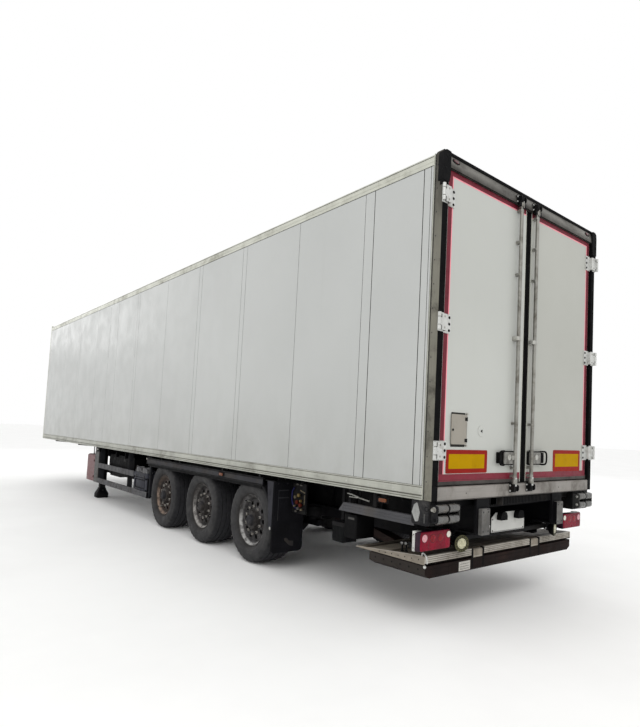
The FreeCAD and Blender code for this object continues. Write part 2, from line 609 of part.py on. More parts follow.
# tilt cylinders: parallel to the arms above them, barrel at the carriage, rod at the platform's ears
tilt = []
for side, s in SIDES:
    y0 = 273 if s > 0 else -327
    turn = FreeCAD.Rotation(V(0, 1, 0), -slope)
    pieces = []
    for radius, start, length in ((14, 20, 420), (24, 400, reach - 420)):
        o = doc.addObject("Part::Cylinder", fresh("cyl"))
        o.Radius = radius
        o.Height = length
        along = turn.multVec(V(start, 0, 0))
        o.Placement = FreeCAD.Placement(V(D["plat_pin_x"] + D["link_x"] - D["x_origin"] + along.x, y0 + 27, D["plat_pin_z"] + D["link_z"] + along.z), turn.multiply(ALONG["X"]))
        pieces.append(o)
    eyes = []
    for px, pz in (("arm_x", "arm_z"), ("plat_pin_x", "plat_pin_z")):
        pieces.append(cyl("Y", px + " + link_x", y0, pz + " + link_z", 27, 54))
        eyes.append(cyl("Y", px + " + link_x", y0 - 5, pz + " + link_z", 15.05, 64))
    tilt.append(cut(fuse(pieces), group(eyes)))
node("tilt_cylinders", group(tilt))

# platform: fixed section with bevelled lower corners and pin cheeks; the tip section lies folded on it
section = at(padded("YZ_Plane", [
    ("-lift_half", "lift_low + 110"), ("-lift_half", "lift_low + 34"), ("-lift_half + 62", "lift_low"),
    ("lift_half - 62", "lift_low"), ("lift_half", "lift_low + 34"), ("lift_half", "lift_low + 110"),
], "850 - lift_rear"), "lift_rear", 0, 0)
plat = [section]
for side, s in SIDES:
    for a in (374, 538):
        plat.append(box(840, "plat_pin_x + 45", *sided(s, a, a + 14), "lift_low + 8", "plat_pin_z + 40"))
    plat.append(cyl("Y", "plat_pin_x", 374 if s > 0 else -552, "plat_pin_z", 20, 178))
    for a in (258, 330):
        plat.append(at(padded("XZ_Plane", [
            ("830", "lift_low + 20"), ("plat_pin_x + 20", "lift_low + 20"), ("plat_pin_x + 20", "plat_pin_z + link_z + 28"), ("plat_pin_x - 45", "plat_pin_z + link_z + 28"),
            ("plat_pin_x - 55", "lift_low + 106"), ("830", "lift_low + 106"),
        ], "12", mid=True), 0, (a + 6) * s, 0))
    plat.append(cyl("Y", "plat_pin_x + link_x", 258 if s > 0 else -342, "plat_pin_z + link_z", 15, 84))
    # hinge block and pin of the folded tip, and a rest for its far edge
    plat.append(box("lift_rear", "lift_rear + 44", *sided(s, 397, 529), "lift_low + 100", "lift_low + 184"))
    plat.append(cyl("Y", "lift_rear + 22", 366 if s > 0 else -560, "lift_low + 154", 10, 194))
    plat.append(box(760, 810, *sided(s, 850, 950), "lift_low + 105", "lift_low + 118.6"))
node("lift_platform", fuse(plat))
tip = at(padded("XZ_Plane", [
    ("lift_rear", "lift_low + 121"), ("1032", "lift_low + 118"), ("1032", "lift_low + 128"), ("lift_rear + 60", "lift_low + 190"), ("lift_rear", "lift_low + 190"),
], "2 * tip_half", mid=True), 0, 0, 0)
slots = [box("lift_rear - 10", "lift_rear + 50", *sided(s, 380, 546), 500, 600) for n, s in SIDES]
slots += [cyl("Y", "lift_rear + 22", 360 if s > 0 else -566, "lift_low + 154", 10.05, 206) for n, s in SIDES]
node("lift_tip", cut(tip, fuse(slots)))

# ---------------------------------------------------------------------- write
doc.recompute()
for o in doc.Objects:
    bad = [t for t in o.State if t in ("Invalid", "Error")]
    if bad:
        raise RuntimeError("%s (%s) is %s" % (o.Name, o.Label, bad))
for name, o in OUT:
    if o.Shape.isNull() or not o.Shape.isValid():
        raise RuntimeError("%s has no valid shape" % name)
os.makedirs("parts", exist_ok=True)
lo, hi = V(1e9, 1e9, 1e9), V(-1e9, -1e9, -1e9)
for name, o in OUT:
    o.Shape.exportStep("parts/%s.step" % name)
    b = o.Shape.BoundBox
    lo = V(min(lo.x, b.XMin), min(lo.y, b.YMin), min(lo.z, b.ZMin))
    hi = V(max(hi.x, b.XMax), max(hi.y, b.YMax), max(hi.z, b.ZMax))
    print("%-24s solids %2d  volume %.4f m3  x %.0f..%.0f y %.0f..%.0f z %.0f..%.0f" % (
        name, len(o.Shape.Solids), o.Shape.Volume / 1e9, b.XMin, b.XMax, b.YMin, b.YMax, b.ZMin, b.ZMax))
print(len(OUT), "nodes, overall", lo, hi)
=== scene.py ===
import math
import random

import bpy
import bmesh
from mathutils import Matrix, Vector


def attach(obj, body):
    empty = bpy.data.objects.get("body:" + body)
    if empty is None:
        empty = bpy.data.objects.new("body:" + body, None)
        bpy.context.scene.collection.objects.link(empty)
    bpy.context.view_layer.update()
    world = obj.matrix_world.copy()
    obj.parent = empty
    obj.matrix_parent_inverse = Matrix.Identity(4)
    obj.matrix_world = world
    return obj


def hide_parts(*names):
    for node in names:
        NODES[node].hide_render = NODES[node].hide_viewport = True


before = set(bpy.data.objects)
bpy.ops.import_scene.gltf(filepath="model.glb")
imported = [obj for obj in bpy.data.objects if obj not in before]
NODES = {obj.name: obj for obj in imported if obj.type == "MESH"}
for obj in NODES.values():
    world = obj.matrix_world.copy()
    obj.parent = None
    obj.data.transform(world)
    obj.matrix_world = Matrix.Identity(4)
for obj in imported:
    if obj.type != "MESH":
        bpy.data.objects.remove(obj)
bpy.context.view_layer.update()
XO = 6.882          # station of the row frame's origin, metres ahead of the rear frame's face


def st(x):
    """Row X of a station counted forward from the rear frame's face."""
    return x - XO


# =====================================================================
# geometry: every piece is collected in a Kit and joined in one mesh
# =====================================================================
class Kit:
    def __init__(self, name, body="trailer", slot=None):
        self.name, self.body, self.slot = name, body, slot
        self.v, self.f, self.m, self.mats, self.cur = [], [], [], [], 0
        self.side = 1            # -1 mirrors what is added across the XZ plane
        self.dx = 0.0            # moves what is added along X

    def use(self, material):
        if material not in self.mats:
            self.mats.append(material)
        self.cur = self.mats.index(material)
        return self

    def add(self, bm):
        off = len(self.v)
        bm.verts.ensure_lookup_table()
        bm.verts.index_update()
        s, dx = self.side, self.dx
        self.v += [(v.co.x + dx, v.co.y * s, v.co.z) for v in bm.verts]
        for f in bm.faces:
            ids = [off + v.index for v in f.verts]
            self.f.append(ids if s > 0 else ids[::-1])
            self.m.append(self.cur)
        bm.free()
        return self

    # ---- primitives
    def box(self, x0, x1, y0, y1, z0, z1, b=0.002, seg=1, rot=None, at=None):
        bm = bmesh.new()
        bmesh.ops.create_cube(bm, size=1)
        sx, sy, sz = abs(x1 - x0), abs(y1 - y0), abs(z1 - z0)
        c = Vector(((x0 + x1) / 2, (y0 + y1) / 2, (z0 + z1) / 2))
        for v in bm.verts:
            v.co = Vector((v.co.x * sx, v.co.y * sy, v.co.z * sz))
        b = min(b, 0.45 * min(sx, sy, sz))
        if b > 1e-5:
            bmesh.ops.bevel(bm, geom=bm.edges[:], offset=b, segments=seg, profile=0.5, affect="EDGES")
        if rot is not None:
            pivot = Vector(at) if at is not None else c
            m = Matrix.Translation(pivot) @ rot.to_4x4() @ Matrix.Translation(c - pivot)
        else:
            m = Matrix.Translation(c)
        bm.transform(m)
        return self.add(bm)

    def prism(self, pts, axis, a0, a1, b=0.0, seg=1):
        """pts: corners in the two other axes, in the order XY, XZ or YZ. Extruded along axis."""
        bm = bmesh.new()
        area = sum(p[0] * q[1] - q[0] * p[1] for p, q in zip(pts, pts[1:] + pts[:1]))
        if area < 0:
            pts = pts[::-1]

        def place(p, a):
            if axis == "X":
                return (a, p[0], p[1])
            if axis == "Y":
                return (p[0], a, p[1])
            return (p[0], p[1], a)
        low = [bm.verts.new(place(p, a0)) for p in pts]
        high = [bm.verts.new(place(p, a1)) for p in pts]
        n = len(pts)
        bm.faces.new(low[::-1])
        bm.faces.new(high)
        for i in range(n):
            bm.faces.new((low[i], low[(i + 1) % n], high[(i + 1) % n], high[i]))
        if axis == "Y":
            bmesh.ops.reverse_faces(bm, faces=bm.faces[:])
        if b > 0:
            sharp = [e for e in bm.edges if len(e.link_faces) == 2 and e.calc_face_angle(0) > math.radians(32)]
            bmesh.ops.bevel(bm, geom=sharp, offset=b, segments=seg, profile=0.5, affect="EDGES", clamp_overlap=True)
        bmesh.ops.recalc_face_normals(bm, faces=bm.faces[:])
        return self.add(bm)

    def lathe(self, prof, origin, axis, n=32, closed=False):
        """prof: (along, radius) from one end to the other. Radius 0 closes an end."""
        bm = bmesh.new()
        axis = Vector(axis).normalized()
        ref = Vector((0, 0, 1)) if abs(axis.z) < 0.9 else Vector((1, 0, 0))
        u = axis.cross(ref).normalized()
        w = axis.cross(u)
        o = Vector(origin)
        rings = []
        for a, r in prof:
            if r < 1e-6:
                rings.append([bm.verts.new(o + axis * a)])
            else:
                rings.append([bm.verts.new(o + axis * a + (u * math.cos(t) + w * math.sin(t)) * r) for t in (2 * math.pi * k / n for k in range(n))])
        pairs = list(zip(rings, rings[1:]))
        if closed:
            pairs.append((rings[-1], rings[0]))
        for p, q in pairs:
            for k in range(n):
                j = (k + 1) % n
                if len(p) == 1 and len(q) == 1:
                    continue
                if len(p) == 1:
                    bm.faces.new((p[0], q[j], q[k]))
                elif len(q) == 1:
                    bm.faces.new((p[k], p[j], q[0]))
                else:
                    bm.faces.new((p[k], p[j], q[j], q[k]))
        if not closed:
            for ring in (rings[0], rings[-1]):
                if len(ring) > 1:
                    bm.faces.new(ring)
        bmesh.ops.recalc_face_normals(bm, faces=bm.faces[:])
        return self.add(bm)

    def rod(self, p0, p1, r, n=16, b=0.001):
        p0, p1 = Vector(p0), Vector(p1)
        d = (p1 - p0).length
        b = min(b, r * 0.4, d * 0.3)
        return self.lathe([(0, 0), (0, r - b), (b, r), (d - b, r), (d, r - b), (d, 0)], p0, p1 - p0, n)

    def pipe(self, pts, r, n=10, bend=0.03, steps=5):
        """A tube along straight runs with rounded corners."""
        P = [Vector(p) for p in pts]
        path = [P[0]]
        for a, c, e in zip(P, P[1:], P[2:]):
            u, w = (a - c), (e - c)
            k = min(bend, 0.45 * u.length, 0.45 * w.length)
            s, t = c + u.normalized() * k, c + w.normalized() * k
            for i in range(steps + 1):
                q = i / steps
                path.append((s * (1 - q) + c * q) * (1 - q) + (c * (1 - q) + t * q) * q)
        path.append(P[-1])
        bm = bmesh.new()
        rings, side = [], None
        for i, p in enumerate(path):
            d = (path[min(i + 1, len(path) - 1)] - path[max(i - 1, 0)]).normalized()
            if side is None:
                side = d.cross(Vector((0, 0, 1)) if abs(d.z) < 0.9 else Vector((1, 0, 0))).normalized()
            side = (side - d * side.dot(d)).normalized()
            up = d.cross(side)
            rings.append([bm.verts.new(p + (side * math.cos(t) + up * math.sin(t)) * r) for t in (2 * math.pi * k / n for k in range(n))])
        for p, q in zip(rings, rings[1:]):
            for k in range(n):
                j = (k + 1) % n
                bm.faces.new((p[k], p[j], q[j], q[k]))
        bm.faces.new(rings[0])
        bm.faces.new(rings[-1])
        bmesh.ops.recalc_face_normals(bm, faces=bm.faces[:])
        return self.add(bm)

    def dome(self, p, axis, r, h, n=12):
        """A rivet head or lens: a shallow dome on a surface."""
        k = [(0, 1.0), (0.45, 0.92), (0.8, 0.62), (1.0, 0.0)]
        return self.lathe([(-0.0005, 0), (-0.0005, r)] + [(h * a, r * c) for a, c in k], p, axis, n)

    def bolt(self, p, axis, r, h, washer=True, n=6):
        a = Vector(axis).normalized()
        o = Vector(p)
        if washer:
            self.lathe([(-0.0005, 0), (-0.0005, r * 1.45), (h * 0.18, r * 1.45), (h * 0.22, r * 1.35), (h * 0.22, 0)], o, a, 18)
        return self.lathe([(h * 0.2, 0), (h * 0.2, r), (h * 0.88, r), (h, r * 0.82), (h, 0)], o, a, n)

    def sheet(self, pts, thick, b=0.0):
        """A flat polygon in space given thickness along its normal."""
        P = [Vector(p) for p in pts]
        nrm = Vector((0, 0, 0))
        for i in range(len(P)):
            a, c = P[i], P[(i + 1) % len(P)]
            nrm += a.cross(c)
        nrm.normalize()
        bm = bmesh.new()
        low = [bm.verts.new(p) for p in P]
        high = [bm.verts.new(p + nrm * thick) for p in P]
        n = len(P)
        bm.faces.new(low[::-1])
        bm.faces.new(high)
        for i in range(n):
            bm.faces.new((low[i], low[(i + 1) % n], high[(i + 1) % n], high[i]))
        bmesh.ops.recalc_face_normals(bm, faces=bm.faces[:])
        if b > 0:
            bmesh.ops.bevel(bm, geom=bm.edges[:], offset=b, segments=1, affect="EDGES", clamp_overlap=True)
        return self.add(bm)

    def done(self, *replaced, angle=34):
        me = bpy.data.meshes.new(self.name)
        me.from_pydata(self.v, [], self.f)
        for material in self.mats:
            me.materials.append(material)
        me.polygons.foreach_set("material_index", self.m)
        me.polygons.foreach_set("use_smooth", [True] * len(self.f))
        me.set_sharp_from_angle(angle=math.radians(angle))
        me.update()
        o = bpy.data.objects.new(self.name, me)
        bpy.context.scene.collection.objects.link(o)
        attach(o, self.body)
        if replaced:
            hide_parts(*replaced)
        return o


def rounded(pts, r, seg=4):
    """The corners of a 2-D outline rounded to radius r (one number, or one a corner)."""
    n, out = len(pts), []
    rs = r if isinstance(r, (list, tuple)) else [r] * n
    for i in range(n):
        a, c, e = Vector(pts[i - 1]), Vector(pts[i]), Vector(pts[(i + 1) % n])
        if rs[i] <= 0:
            out.append(tuple(c))
            continue
        u, w = (a - c).normalized(), (e - c).normalized()
        half = math.acos(max(-1, min(1, u.dot(w)))) / 2
        k = min(rs[i] / math.tan(half), 0.48 * (a - c).length, 0.48 * (e - c).length)
        r0 = k * math.tan(half)
        mid = c + (u + w).normalized() * (r0 / math.sin(half))
        s, t = c + u * k, c + w * k
        a0 = math.atan2(s.y - mid.y, s.x - mid.x)
        a1 = math.atan2(t.y - mid.y, t.x - mid.x)
        d = (a1 - a0 + math.pi) % (2 * math.pi) - math.pi
        for j in range(seg + 1):
            q = a0 + d * j / seg
            out.append((mid.x + r0 * math.cos(q), mid.y + r0 * math.sin(q)))
    return out


def rect(a0, a1, b0, b1):
    return [(a0, b0), (a1, b0), (a1, b1), (a0, b1)]


# =====================================================================
# materials: node graphs on object coordinates, which are the row frame
# =====================================================================
def rgb(h):
    """A display colour written as six hex digits, as a linear colour."""
    c = [int(h[i:i + 2], 16) / 255 for i in (0, 2, 4)]
    return tuple([x / 12.92 if x <= 0.04045 else ((x + 0.055) / 1.055) ** 2.4 for x in c] + [1.0])


class Graph:
    def __init__(self, name):
        self.mat = bpy.data.materials.new(name)
        self.mat.use_nodes = True
        self.t = self.mat.node_tree
        self.t.nodes.clear()
        self.out = self.t.nodes.new("ShaderNodeOutputMaterial")
        self.p = self.t.nodes.new("ShaderNodeBsdfPrincipled")
        self.t.links.new(self.p.outputs["BSDF"], self.out.inputs["Surface"])
        self.co = self.t.nodes.new("ShaderNodeTexCoord").outputs["Object"]

    def put(self, socket, value):
        if isinstance(value, bpy.types.NodeSocket):
            self.t.links.new(value, socket)
        else:
            socket.default_value = value

    def moved(self, scale=(1, 1, 1), loc=(0, 0, 0), rot=(0, 0, 0)):
        n = self.t.nodes.new("ShaderNodeMapping")
        n.inputs["Scale"].default_value = scale
        n.inputs["Location"].default_value = loc
        n.inputs["Rotation"].default_value = rot
        self.t.links.new(self.co, n.inputs["Vector"])
        return n.outputs["Vector"]

    def noise(self, scale=5, detail=4, rough=0.55, stretch=None, dist=0.0, vec=None):
        n = self.t.nodes.new("ShaderNodeTexNoise")
        n.inputs["Scale"].default_value = scale
        n.inputs["Detail"].default_value = detail
        n.inputs["Roughness"].default_value = rough
        n.inputs["Distortion"].default_value = dist
        v = vec if vec is not None else (self.moved(stretch) if stretch else self.co)
        self.t.links.new(v, n.inputs["Vector"])
        return n.outputs["Fac"]

    def voronoi(self, scale, stretch=None, feature="F1", vec=None):
        n = self.t.nodes.new("ShaderNodeTexVoronoi")
        n.feature = feature
        n.inputs["Scale"].default_value = scale
        v = vec if vec is not None else (self.moved(stretch) if stretch else self.co)
        self.t.links.new(v, n.inputs["Vector"])
        return n.outputs["Distance"]

    def wave(self, scale, axis="X", stretch=None, dist=0.0, profile="SIN"):
        n = self.t.nodes.new("ShaderNodeTexWave")
        n.wave_type = "BANDS"
        n.bands_direction = axis
        n.wave_profile = profile
        n.inputs["Scale"].default_value = scale
        n.inputs["Distortion"].default_value = dist
        self.t.links.new(self.moved(stretch) if stretch else self.co, n.inputs["Vector"])
        return n.outputs["Fac"]

    def math(self, op, a, b=0.0, c=0.0, clamp=False):
        n = self.t.nodes.new("ShaderNodeMath")
        n.operation = op
        n.use_clamp = clamp
        for i, x in enumerate((a, b, c)):
            self.put(n.inputs[i], x)
        return n.outputs[0]

    def rng(self, v, a, b, lo=0.0, hi=1.0, smooth=True):
        n = self.t.nodes.new("ShaderNodeMapRange")
        n.interpolation_type = "SMOOTHSTEP" if smooth else "LINEAR"
        n.inputs["From Min"].default_value = a
        n.inputs["From Max"].default_value = b
        n.inputs["To Min"].default_value = lo
        n.inputs["To Max"].default_value = hi
        self.t.links.new(v, n.inputs["Value"])
        return n.outputs["Result"]

    def mix(self, a, b, fac, blend="MIX"):
        n = self.t.nodes.new("ShaderNodeMix")
        n.data_type = "RGBA"
        n.blend_type = blend
        self.put(n.inputs["Factor"], fac)
        self.put(n.inputs[6], a)
        self.put(n.inputs[7], b)
        return n.outputs[2]

    def axis(self, k):
        n = self.t.nodes.new("ShaderNodeSeparateXYZ")
        self.t.links.new(self.co, n.inputs[0])
        return n.outputs[k]

    def radius(self, cx, cz):
        """Distance from a line along Y through (cx, cz)."""
        x = self.math("SUBTRACT", self.axis(0), cx)
        z = self.math("SUBTRACT", self.axis(2), cz)
        return self.math("SQRT", self.math("ADD", self.math("MULTIPLY", x, x), self.math("MULTIPLY", z, z)))

    def bump(self, height, strength=0.3, distance=0.002, base=None):
        n = self.t.nodes.new("ShaderNodeBump")
        n.inputs["Strength"].default_value = strength
        n.inputs["Distance"].default_value = distance
        self.t.links.new(height, n.inputs["Height"])
        if base is not None:
            self.t.links.new(base, n.inputs["Normal"])
        return n.outputs["Normal"]

    def finish(self, color, rough=0.5, metal=0.0, normal=None, **sockets):
        self.put(self.p.inputs["Base Color"], color)
        self.put(self.p.inputs["Roughness"], rough)
        self.p.inputs["Metallic"].default_value = metal
        if normal is not None:
            self.t.links.new(normal, self.p.inputs["Normal"])
        for k, v in sockets.items():
            self.p.inputs[k.replace("_", " ")].default_value = v
        return self.mat


def shade(c, k):
    return tuple([min(1.0, x * k) for x in c[:3]] + [1.0])


def coated(name, color, rough=0.5, metal=0.0, var=0.10, scale=2.2, grime=None, amount=0.4, gscale=1.6, streak=0.0, low=None, grain=260, bump=0.12,
           brush=None, rvar=0.12, chips=None, **sockets):
    """A painted, moulded or bare metal surface.
    var: drift of the base colour. grime: colour laid on in patches and streaks. low: (from z, to z) where grime thickens downwards.
    brush: stretch of fine lines for drawn metal. chips: colour seen through small chips."""
    g = Graph(name)
    base = rgb(color)
    if "Specular_IOR_Level" not in sockets and metal < 0.3:
        tone = sum(base[:3]) / 3
        sockets["Specular_IOR_Level"] = 0.06 if tone < 0.05 else 0.25 if tone < 0.15 else 0.5
    drift = g.rng(g.noise(scale, 5, 0.6), 0.3, 0.7)
    col = g.mix(shade(base, 1 - var), shade(base, 1 + var), drift)
    mask = None
    if brush:
        lines = g.noise(60, 3, 0.7, stretch=brush)
        col = g.mix(col, shade(base, 0.72), g.rng(lines, 0.42, 0.78, 0, 0.5))
    if grime:
        mask = g.rng(g.noise(gscale, 8, 0.68, dist=0.4), 0.62 - 0.35 * amount, 0.86 - 0.2 * amount, 0, min(1, 0.35 + amount))
        if streak:
            s = g.rng(g.noise(5, 4, 0.6, stretch=(1.0, 1.0, 0.06)), 0.5, 0.78, 0, streak)
            mask = g.math("MAXIMUM", mask, s)
        if low:
            h = g.rng(g.axis(2), low[1], low[0], 0, 1)
            h = g.math("MULTIPLY", h, g.rng(g.noise(3.5, 6, 0.7, stretch=(1, 1, 0.5)), 0.2, 0.75, 0.25, 1.0))
            mask = g.math("MAXIMUM", mask, h)
        col = g.mix(col, rgb(grime), mask)
    if chips:
        c = g.rng(g.noise(38, 6, 0.75), 0.66, 0.72)
        col = g.mix(col, rgb(chips), c)
    r = g.rng(g.noise(scale * 4, 4, 0.6), 0.25, 0.75, max(0.04, rough - rvar), min(1, rough + rvar))
    if mask is not None:
        r = g.math("ADD", r, g.math("MULTIPLY", mask, max(0.0, 0.85 - rough) * 0.6), clamp=True)
    h = g.noise(grain, 3, 0.6, stretch=brush) if brush else g.noise(grain, 3, 0.6)
    return g.finish(col, r, metal, g.bump(h, bump, 0.0015), **sockets)


M = {}
# white coated skins: faint cloudy drift, thin rain streaks, road film towards the bottom rail


def white_skin(name, color, low, film, x_panels=True):
    g = Graph(name)
    base = rgb(color)
    col = g.mix(shade(base, 0.965), shade(base, 1.03), g.rng(g.noise(0.55, 3, 0.5), 0.3, 0.7))
    if x_panels:      # each panel of the side takes a slightly different white
        cell = g.math("FLOOR", g.math("MULTIPLY", g.axis(0), 1 / 1.215))
        step = g.math("FRACT", g.math("MULTIPLY", g.math("SINE", g.math("MULTIPLY", cell, 12.9898)), 437.585))
        col = g.mix(col, shade(base, 0.93), g.math("MULTIPLY", step, 0.3))
    streaks = g.rng(g.noise(9, 5, 0.65, stretch=(1.0, 1.0, 0.03)), 0.56, 0.82, 0, 0.12)
    col = g.mix(col, rgb("8f8f86"), streaks)
    h = g.rng(g.axis(2), low[1], low[0], 0, 1)
    h = g.math("MULTIPLY", h, g.rng(g.noise(2.6, 7, 0.7, stretch=(1, 1, 0.6)), 0.25, 0.8, 0.2, 1))
    col = g.mix(col, rgb("77766c"), g.math("MULTIPLY", h, film))
    spots = g.rng(g.noise(55, 3, 0.8), 0.73, 0.78, 0, 0.35)
    col = g.mix(col, rgb("6d675c"), spots)
    r = g.rng(g.noise(3, 4, 0.6), 0.3, 0.7, 0.28, 0.46)
    wavy = g.bump(g.noise(1.1, 2, 0.5, stretch=(1, 1, 0.5)), 0.12, 0.010)
    return g.finish(col, r, 0.0, g.bump(g.noise(420, 2, 0.5), 0.05, 0.0008, wavy), Coat_Weight=0.12, Coat_Roughness=0.3, Specular_IOR_Level=0.4)


M["white"] = white_skin("white_skin", "afb1af", (1.15, 2.1), 0.30)
M["door"] = white_skin("door_skin", "b5b7b2", (1.15, 1.75), 0.35, False)
# the right door's skin: the door white painted darker, painted shade for the door turned from the light
M["door_far"] = white_skin("door_skin_painted_shade", "aaaba4", (1.15, 1.75), 0.35, False)
M["roof"] = white_skin("roof_skin", "cfd0ca", (3.0, 3.2), 0.2)
M["inner"] = coated("inner_skin", "e4e5e1", 0.45, var=0.04, grime="9a968c", amount=0.15, streak=0.12, low=(1.2, 1.7), bump=0.06)
M["rail"] = coated("rail_alloy", "c0c1b6", 0.42, 0.45, var=0.08, scale=3, grime="807e72", amount=0.45, gscale=2.4, streak=0.30, brush=(0.02, 1, 1), bump=0.10)
M["rail_low"] = coated("low_rail_alloy", "a9aaa1", 0.45, 0.4, var=0.10, scale=3, grime="6f6e65", amount=0.5, gscale=2.4, streak=0.30, brush=(0.02, 1, 1), bump=0.10)
M["rail_dark"] = coated("rail_shadow", "32322f", 0.6, 0.2, grime="1f1e1c", amount=0.5)
M["stainless"] = coated("stainless", "8f8e88", 0.36, 0.75, var=0.12, scale=2, grime="5e574c", amount=0.45, gscale=3, streak=0.4, brush=(1, 1, 0.03), bump=0.10)
M["bar"] = coated("bar_steel", "93928c", 0.38, 0.6, var=0.16, scale=4, grime="4d463a", amount=0.6, gscale=5, streak=0.3, brush=(1, 1, 0.05), bump=0.12)
M["galv"] = coated("galvanised", "b4b4ae", 0.45, 0.55, var=0.16, scale=14, grime="5b5348", amount=0.5, gscale=7, bump=0.16)
M["post"] = coated("post_side", "767469", 0.5, 0.4, var=0.2, scale=1.5, grime="2c2823", amount=0.5, gscale=5, streak=0.6, low=(3.9, 2.5), brush=(1, 1, 0.03), bump=0.14)
M["header"] = coated("header_cover", "76746f", 0.42, 0.5, var=0.2, scale=1.2, grime="2f2c28", amount=0.5, gscale=1.6, low=(3.796, 3.868), brush=(1, 0.03, 1), bump=0.12)
M["sill"] = coated("sill_steel", "8d8984", 0.44, 0.45, var=0.12, scale=2.4, grime="463f36", amount=0.55, gscale=2.6, brush=(1, 0.03, 1), bump=0.16)
M["rubber"] = coated("rubber", "121213", 0.72, var=0.15, scale=6, grime="232223", amount=0.4, gscale=5, grain=700, bump=0.35)
M["seal"] = coated("door_seal", "0d0d0e", 0.66, var=0.15, scale=6, grime="1f1e1d", amount=0.35, gscale=6, grain=500, bump=0.3)
M["footseal"] = coated("door_foot", "4a4744", 0.62, 0.1, var=0.18, scale=4, grime="24211e", amount=0.6, gscale=3.2, bump=0.3)
M["hinge"] = coated("hinge_steel", "c3c4c1", 0.36, 0.4, var=0.08, scale=9, grime="6e665a", amount=0.4, gscale=8, streak=0.2, bump=0.10)
M["black"] = coated("black_paint", "121213", 0.46, var=0.2, scale=4, grime="2f2b27", amount=0.42, gscale=2.6, bump=0.2, chips="3d2c20")
M["chassis"] = coated("chassis_paint", "0e0e10", 0.52, var=0.2, scale=3, grime="232120", amount=0.5, gscale=1.8, streak=0.1, bump=0.25, chips="2f231b")
M["dusty"] = coated("dusty_steel", "303033", 0.56, 0.15, var=0.2, scale=3, grime="423d37", amount=0.55, gscale=2.2, bump=0.25, chips="4a3626")
M["guard"] = coated("guard_alloy", "2e2e32", 0.5, 0.3, var=0.14, scale=3, grime="312e2c", amount=0.55, gscale=3, brush=(0.03, 1, 1), bump=0.16)
M["endplate"] = coated("guard_end", "3e3e3d", 0.5, 0.4, var=0.14, scale=6, grime="3f3b36", amount=0.5, gscale=5, bump=0.16)
M["plastic"] = coated("grey_plastic", "303138", 0.55, var=0.14, scale=7, grime="46433f", amount=0.4, gscale=3, grain=900, bump=0.3)
M["plastic_black"] = coated("black_plastic", "141416", 0.55, var=0.16, scale=7, grime="2b2927", amount=0.45, gscale=3, grain=900, bump=0.3)
M["pink"] = coated("faded_red", "6d4f51", 0.5, var=0.12, scale=5, grime="7d5d5c", amount=0.5, gscale=6, bump=0.2)
M["red_dark"] = coated("handle_red", "4a1719", 0.5, var=0.15, scale=9, grime="2a1817", amount=0.4, bump=0.2)
M["beige"] = coated("hatch_paint", "8f8a80", 0.5, var=0.05, scale=5, grime="5c564d", amount=0.3, gscale=4, bump=0.12)
M["tape_low"] = coated("tape_crimson", "701126", 0.45, var=0.12, scale=6, grime="7d1830", amount=0.4, gscale=3.5, grain=120, bump=0.12, Specular_IOR_Level=0.3)
M["tape_line"] = coated("tape_line", "e88a96", 0.45, var=0.08, scale=12, grime="b5606e", amount=0.3, gscale=9, grain=120, bump=0.12)
M["tape_red"] = coated("tape_red", "651525", 0.5, var=0.14, scale=6, grime="3c1019", amount=0.4, gscale=3.5, low=(1.15, 1.6), grain=120, bump=0.12, Specular_IOR_Level=0.25)
M["plate_red"] = coated("plate_red", "86150a", 0.45, var=0.08, scale=9, grime="6d1c14", amount=0.35, gscale=8, grain=500, bump=0.12, Specular_IOR_Level=0.1)
M["plate_yellow"] = coated("plate_yellow", "aa8400", 0.5, var=0.06, scale=9, grime="936702", amount=0.3, gscale=8, grain=500, bump=0.12, Specular_IOR_Level=0.03)
M["plate_white"] = coated("plate_metal", "b9b9b5", 0.45, 0.2, var=0.06, scale=5, grime="85827a", amount=0.35, gscale=5, bump=0.08)
M["label"] = coated("label_blank", "b4b1aa", 0.55, var=0.12, scale=22, grime="77716a", amount=0.5, gscale=22, bump=0.1)
M["lift_edge"] = coated("lift_alloy", "aea99f", 0.45, 0.35, var=0.14, scale=2.6, grime="5f564b", amount=0.55, gscale=2.4, brush=(1, 0.03, 1), bump=0.18)
M["lift_steel"] = coated("lift_brown", "231c1b", 0.55, 0.1, var=0.3, scale=1.6, grime="392c27", amount=0.6, gscale=1.3, bump=0.3, chips="4a3226")
M["lift_side"] = coated("lift_side", "34302d", 0.55, 0.2, var=0.2, scale=2.2, grime="1d1a18", amount=0.5, gscale=2.2, bump=0.3)
M["grip"] = coated("lift_deck", "958d80", 0.6, 0.35, var=0.14, scale=3, grime="433a31", amount=0.65, gscale=2.4, grain=140, bump=0.4)
M["chrome"] = coated("worn_roller", "6c6c6b", 0.28, 0.9, var=0.12, scale=12, grime="76726c", amount=0.5, gscale=16, brush=(1, 0.1, 1), bump=0.14)
M["amber"] = coated("amber_lens", "5f2e09", 0.4, var=0.15, scale=40, grain=260, bump=0.2, Coat_Weight=0.6)
M["lens_white"] = coated("clear_lens", "d6d2c4", 0.22, var=0.12, scale=60, grime="a8a087", amount=0.4, gscale=30, grain=300, bump=0.25, Coat_Weight=0.6)
M["lens_pink"] = coated("pink_lens", "c98a92", 0.25, var=0.15, scale=50, grain=300, bump=0.25, Coat_Weight=0.6)
M["lens_work"] = coated("work_lens", "b9b696", 0.28, var=0.2, scale=70, grime="77745c", amount=0.55, gscale=30, grain=300, bump=0.3, Coat_Weight=0.5)
M["lens_red"] = coated("red_lens", "780120", 0.3, var=0.25, scale=9, grime="55021a", amount=0.45, gscale=7, grain=60, bump=0.5, Coat_Weight=0.12, Coat_Roughness=0.1, Specular_IOR_Level=0.1)
M["lens_dark"] = coated("dark_red_lens", "47050f", 0.2, var=0.25, scale=14, grain=180, bump=0.25, Coat_Weight=0.8, Coat_Roughness=0.12)
